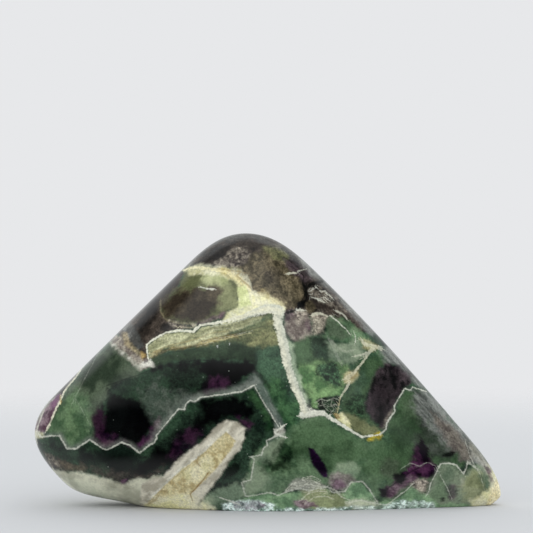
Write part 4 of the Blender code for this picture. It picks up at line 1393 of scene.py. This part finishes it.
@dataclass(frozen=True)
class PolishedFluorite:
    """The stone's finish: its painted minerals, veins, dust and polish.

    Args:
        vein_white: the whitest veins' colour, as display values, like the next five.
        vein_cream: the yellowest veins.
        vein_grey: the dull side of the thick ones.
        vein_ochre: the stained ones.
        vein_dark: the cracks.
        speck: the dust.
        index: the refractive index.
        polish: the polish's roughness.
        uneven: the roughness that the coarse noise adds.
        raw: the roughness added where the stone was left raw.
        relief: the height of the raw relief, in millimetres, and bump its strength.
        waves: the height of the polishing waves, as a share of the relief.
        fine, coarse, raw_scale, wave_scale: the noises' scales.
        grain: how strongly the fine noise shades a grainy mineral.
        darkest: the least that it leaves.
        ragged: how far a vein's edge strays, in picture units.
        strays: how much further it strays by each noise, for its half width.
        stray_end: how far off a vein's last crumbs fade out.
        thick: the half widths between which a vein turns into a thick one.
        soft: how much softer a thick vein's edge is.
        dull: where the dull side of a thick vein starts and ends.
        ochre: the tones between which cream turns to ochre.
        grainy: the grain between which a mineral turns crackled.
        thread: how strongly it is crackled then.
        thread_edge: how far from a cell's edge the pale thread ends.
        cell_heart: how far from there its dark heart begins.
        cells: the scale of the crackle, bent by up to bend, in millimetres, at the scale bends.
        specks: the scale of the dust, of specks up to speck_size, with an edge of speck_edge.
    """

    vein_white: Colour = (222, 223, 208)
    vein_cream: Colour = (238, 228, 176)
    vein_grey: Colour = (208, 210, 192)
    vein_ochre: Colour = (130, 98, 42)
    vein_dark: Colour = (6, 10, 9)
    speck: Colour = (176, 184, 172)
    index: float = 1.434
    polish: float = 0.03
    uneven: float = 0.02
    raw: float = 0.42
    relief: float = 0.4
    bump: float = 0.6
    waves: float = 0.03
    fine: float = 2.3
    coarse: float = 0.8
    raw_scale: float = 1.6
    wave_scale: float = 0.3
    grain: float = 4.2
    darkest: float = 0.25
    ragged: float = 1.5
    strays: Point = (0.7, 1.1)
    stray_end: Point = (2.2, 3.2)
    thick: Point = (1.5, 3.2)
    soft: float = 0.55
    dull: Point = (-0.6, 2.4)
    ochre: Point = (1.0, 2.4)
    grainy: Point = (0.3, 0.65)
    thread: float = 0.7
    thread_edge: Point = (0.02, 0.12)
    cell_heart: Point = (0.3, 0.55)
    cells: float = 0.62
    bend: float = 1.6
    bends: float = 0.9
    specks: float = 0.75
    speck_size: float = 0.1
    speck_edge: float = 0.03

    def build(self) -> bpy.types.Material:
        """Makes the material."""
        material = bpy.data.materials.new("polished_fluorite")
        graph = Graph(material)
        place = graph.scaled(graph.signal("ShaderNodeTexCoord", {}, {}, "Object"), 1.0 / MM)
        fine = graph.noise(place, self.fine, 3.0)
        coarse = graph.noise(place, self.coarse, 3.0)
        grain = (fine - 0.5) * graph.attribute("grain") * self.grain + 1.0
        colour = graph.scaled(graph.attribute("tint", "Color"), grain.at_least(self.darkest))
        colour = self._crackle(graph, colour, place)
        colour = self._veins(graph, colour, fine, coarse)
        colour = self._dust(graph, colour, place)
        raw = graph.attribute("raw")
        roughness = coarse.eased(0.3, 0.8) * self.uneven + raw * self.raw + self.polish
        waves = graph.noise(place, self.wave_scale, 1.0) * self.waves
        relief = graph.noise(place, self.raw_scale, 4.0) * raw + waves
        height = {"Strength": self.bump, "Distance": self.relief * MM, "Height": relief}
        surface = graph.node(
            "ShaderNodeBsdfPrincipled",
            {},
            {
                "Base Color": colour,
                "Roughness": roughness,
                "IOR": self.index,
                "Metallic": 0.0,
                "Normal": graph.signal("ShaderNodeBump", {}, height),
            },
        )
        end = graph.node("ShaderNodeOutputMaterial", {}, {})
        graph.tree.links.new(surface.outputs[0], end.inputs["Surface"])
        return material

    def _veins(self, graph: Graph, colour: Signal, fine: Signal, coarse: Signal) -> Signal:
        """Lays the veins over the minerals."""
        half = graph.attribute("vein_half")
        by_fine, by_coarse = self.strays
        stray = (fine - 0.5) * (half * by_fine + self.ragged) + (coarse - 0.5) * (half * by_coarse)
        depth = half - graph.attribute("vein_side").size() + stray
        near = 1.0 - (graph.attribute("vein_gap") - half).eased(*self.stray_end)
        thick = half.eased(*self.thick)
        soft = 1.0 - thick * self.soft
        cover = (depth * soft).eased(-0.5, 0.5) * graph.attribute("vein_strength") * near
        cover = cover * (coarse.eased(0.3, 0.6) * 0.3 + 0.75)
        tone = graph.attribute("vein_tone")
        tint = graph.mix(tone.eased(0.0, 1.0), srgb(*self.vein_white), srgb(*self.vein_cream))
        tint = graph.mix(tone.eased(*self.ochre), tint, srgb(*self.vein_ochre))
        tint = graph.mix(tone.eased(-1.0, 0.0), srgb(*self.vein_dark), tint)
        dull = (0.0 - graph.attribute("vein_side")).eased(*self.dull) * thick
        tint = graph.mix(dull, tint, srgb(*self.vein_grey))
        tint = graph.scaled(tint, fine.eased(0.25, 0.7) * 0.3 + 0.78)
        return graph.mix(cover, colour, tint)

    def _crackle(self, graph: Graph, colour: Signal, place: Signal) -> Signal:
        """Draws a net of pale threads and dark gaps through the grainy minerals."""
        bent = graph.noise(place, self.bends, 2.0, "Color")
        moved = graph.summed(place, graph.scaled(bent, self.bend))
        settings = {"feature": "DISTANCE_TO_EDGE"}
        cells = {"Vector": moved, "Scale": self.cells}
        gap = graph.signal("ShaderNodeTexVoronoi", settings, cells, "Distance")
        amount = graph.attribute("grain").eased(*self.grainy) * self.thread
        pale = (1.0 - gap.eased(*self.thread_edge)) * amount
        dark = gap.eased(*self.cell_heart) * amount * 0.6
        return graph.scaled(colour, pale * 0.9 + 1.0 - dark)

    def _dust(self, graph: Graph, colour: Signal, place: Signal) -> Signal:
        """Lays pale specks over the dusty minerals."""
        cells = graph.node("ShaderNodeTexVoronoi", {}, {"Vector": place, "Scale": self.specks})
        pick = graph.node("ShaderNodeSeparateColor", {}, {0: Signal(graph, cells.outputs["Color"])})
        size = Signal(graph, pick.outputs[0]).eased(0.55, 1.0) * self.speck_size
        beyond = Signal(graph, cells.outputs["Distance"]) - size
        near = 1.0 - beyond.eased(-self.speck_edge, self.speck_edge)
        cover = near * graph.attribute("dust") * Signal(graph, pick.outputs[1])
        return graph.mix(cover, colour, srgb(*self.speck))


@dataclass
class Stone:
    """The fluorite freeform."""

    form: StoneForm
    pattern: BandPattern
    finish: PolishedFluorite

    def build(self) -> None:
        """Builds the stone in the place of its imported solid."""
        points, faces = self.form.surface()
        points = self._into_box(points)
        mesh = bpy.data.meshes.new("banded_fluorite")
        mesh.from_pydata((points * MM).tolist(), [], faces.tolist())
        mesh.validate()
        self.pattern.paint(mesh, points)
        mesh.shade_smooth()
        mesh.materials.append(self.finish.build())
        stone = bpy.data.objects.new("banded_fluorite", mesh)
        bpy.context.scene.collection.objects.link(stone)
        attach(stone, "root")
        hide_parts(CAD_NODE)
        LOG.info("stone: %d points, %d triangles", len(points), len(faces))

    @staticmethod
    def _into_box(points: np.ndarray) -> np.ndarray:
        """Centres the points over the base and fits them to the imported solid's own box."""
        low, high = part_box(CAD_NODE)
        low, high = np.array(low) / MM, np.array(high) / MM
        least, most = points.min(axis=0), points.max(axis=0)
        return low + (points - least) * (high - low) / (most - least)


@dataclass(frozen=True)
class Window:
    """A bright patch of the studio that the polish mirrors.

    Args:
        name: what it stands for.
        azimuth: its middle's turn from straight in front, in degrees, to the right.
        elevation: its middle's height, in degrees.
        width: its full width, in degrees.
        height: its full height, in degrees.
        feather: the width of its soft edge, in degrees.
        strength: its brightness.
    """

    name: str
    azimuth: float
    elevation: float
    width: float
    height: float
    feather: float
    strength: float


@dataclass
class Studio:
    """The pale floor and the soft light round the stone.

    Args:
        floor_solid: the radius inside which the floor is solid, in metres.
        floor_reach: the radius at which it ends.
        floor_faded: the share of it at which it has faded into the wall.
        floor_sides: the number of its edge's sides.
        floor: the floor's colour, as display values.
        unlit: the floor's colour before the stone, as the polish mirrors it, in linear light.
        unlit_from: where before the stone that colour ends and starts.
        wall: the wall's colour, as display values.
        daylight: the soft light's colour, in linear light.
        level: the soft light's strength at the horizon.
        lift: how much stronger it is straight above.
        dim: the mirrored studio's brightness between the windows.
    """

    floor_solid: float = 0.13
    floor_reach: float = 0.42
    floor_faded: float = 0.98
    floor_sides: int = 96
    floor: Colour = (200, 201, 203)
    unlit: Colour = (0.03, 0.03, 0.03)
    unlit_from: Point = (-0.034, -0.016)
    wall: Colour = (231, 232, 234)
    daylight: Colour = (0.97, 0.99, 1.0)
    level: float = 1.0
    lift: float = 0.35
    dim: float = 0.02
    windows: tuple[Window, ...] = (
        Window("soft box", -6.0, 37.0, 88.0, 46.0, 28.0, 1.05),
        Window("wall behind", 180.0, 20.0, 150.0, 120.0, 30.0, 0.8),
        Window("ceiling", 0.0, 90.0, 800.0, 60.0, 20.0, 0.6),
        Window("left lamp, first", 0.0, 21.6, 0.8, 1.0, 0.3, 12.0),
        Window("left lamp, second", 3.4, 22.2, 0.8, 1.0, 0.3, 10.0),
    )

    def build(self) -> None:
        """Builds the floor and the world."""
        bpy.context.scene.view_settings.view_transform = "Standard"
        self._floor()
        self._world()
        LOG.info("studio: floor, soft light and %d mirrored windows", len(self.windows))

    def _floor(self) -> None:
        """A pale disc under the stone that fades into the wall."""
        turns = [math.tau * step / self.floor_sides for step in range(self.floor_sides)]
        edge = self.floor_reach
        ring = [(edge * math.cos(turn), edge * math.sin(turn), 0.0) for turn in turns]
        mesh = bpy.data.meshes.new("pale_floor")
        mesh.from_pydata(ring, [], [tuple(range(self.floor_sides))])
        material = bpy.data.materials.new("pale_floor")
        graph = Graph(material)
        place = graph.signal("ShaderNodeTexCoord", {}, {}, "Object")
        reach = graph.signal("ShaderNodeVectorMath", {"operation": "LENGTH"}, {0: place}, "Value")
        fade = reach.eased(self.floor_solid, edge * self.floor_faded)
        ahead = 1.0 - graph.signal("ShaderNodeSeparateXYZ", {}, {0: place}, "Y").eased(*self.unlit_from)
        unlit = ahead * graph.signal("ShaderNodeLightPath", {}, {}, "Is Glossy Ray")
        colour = graph.mix(unlit, srgb(*self.floor), (*self.unlit, 1.0))
        matte = graph.node("ShaderNodeBsdfDiffuse", {}, {"Color": colour})
        clear = graph.node("ShaderNodeBsdfTransparent", {}, {})
        both = graph.node("ShaderNodeMixShader", {}, {0: fade})
        end = graph.node("ShaderNodeOutputMaterial", {}, {})
        graph.tree.links.new(matte.outputs[0], both.inputs[1])
        graph.tree.links.new(clear.outputs[0], both.inputs[2])
        graph.tree.links.new(both.outputs[0], end.inputs["Surface"])
        mesh.materials.append(material)
        floor = bpy.data.objects.new("pale_floor", mesh)
        bpy.context.scene.collection.objects.link(floor)

    def _world(self) -> None:
        """Even soft light for the matte colours, windows for the polish and a plain wall to look at."""
        world = bpy.data.worlds.new("soft_studio")
        bpy.context.scene.world = world
        graph = Graph(world)
        where = graph.signal("ShaderNodeTexCoord", {}, {}, "Generated")
        split = graph.node("ShaderNodeSeparateXYZ", {}, {0: where})
        across, ahead, up = (Signal(graph, split.outputs[axis]) for axis in range(3))
        mirrored = self._mirrored(graph, across, ahead, up)
        ray = graph.node("ShaderNodeLightPath", {}, {})
        sharp = Signal(graph, ray.outputs["Is Glossy Ray"])
        even = up * self.lift + self.level
        strength = even * (1.0 - sharp) + mirrored * sharp
        daylight = (*self.daylight, 1.0)
        lit = graph.node("ShaderNodeBackground", {}, {"Color": daylight, "Strength": strength})
        seen = graph.node("ShaderNodeBackground", {}, {"Color": srgb(*self.wall), "Strength": 1.0})
        choice = graph.node("ShaderNodeMixShader", {}, {0: Signal(graph, ray.outputs["Is Camera Ray"])})
        end = graph.node("ShaderNodeOutputWorld", {}, {})
        graph.tree.links.new(lit.outputs[0], choice.inputs[1])
        graph.tree.links.new(seen.outputs[0], choice.inputs[2])
        graph.tree.links.new(choice.outputs[0], end.inputs["Surface"])

    def _mirrored(self, graph: Graph, across: Signal, ahead: Signal, up: Signal) -> Signal:
        """The brightness of the mirrored studio in a direction."""
        turn = graph.number("ARCTAN2", across, ahead * -1.0) * DEGREES
        rise = graph.number("ARCSINE", up) * DEGREES
        total: Any = self.dim
        for window in self.windows:
            aside = (turn - window.azimuth).size()
            aside = aside.at_most(360.0 - aside)
            above = (rise - window.elevation).size()
            beyond = (aside - window.width / 2).at_least(above - window.height / 2)
            cover = 1.0 - beyond.eased(-window.feather / 2, window.feather / 2)
            total = cover * window.strength + total
        return total


def main() -> None:
    """Builds the scene."""
    logging.basicConfig(level=logging.INFO, format="%(name)s: %(message)s")
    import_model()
    view = LevelView()
    view.build()
    Stone(StoneForm(), BandPattern(view), PolishedFluorite()).build()
    Studio().build()


if __name__ == "__main__":
    main()
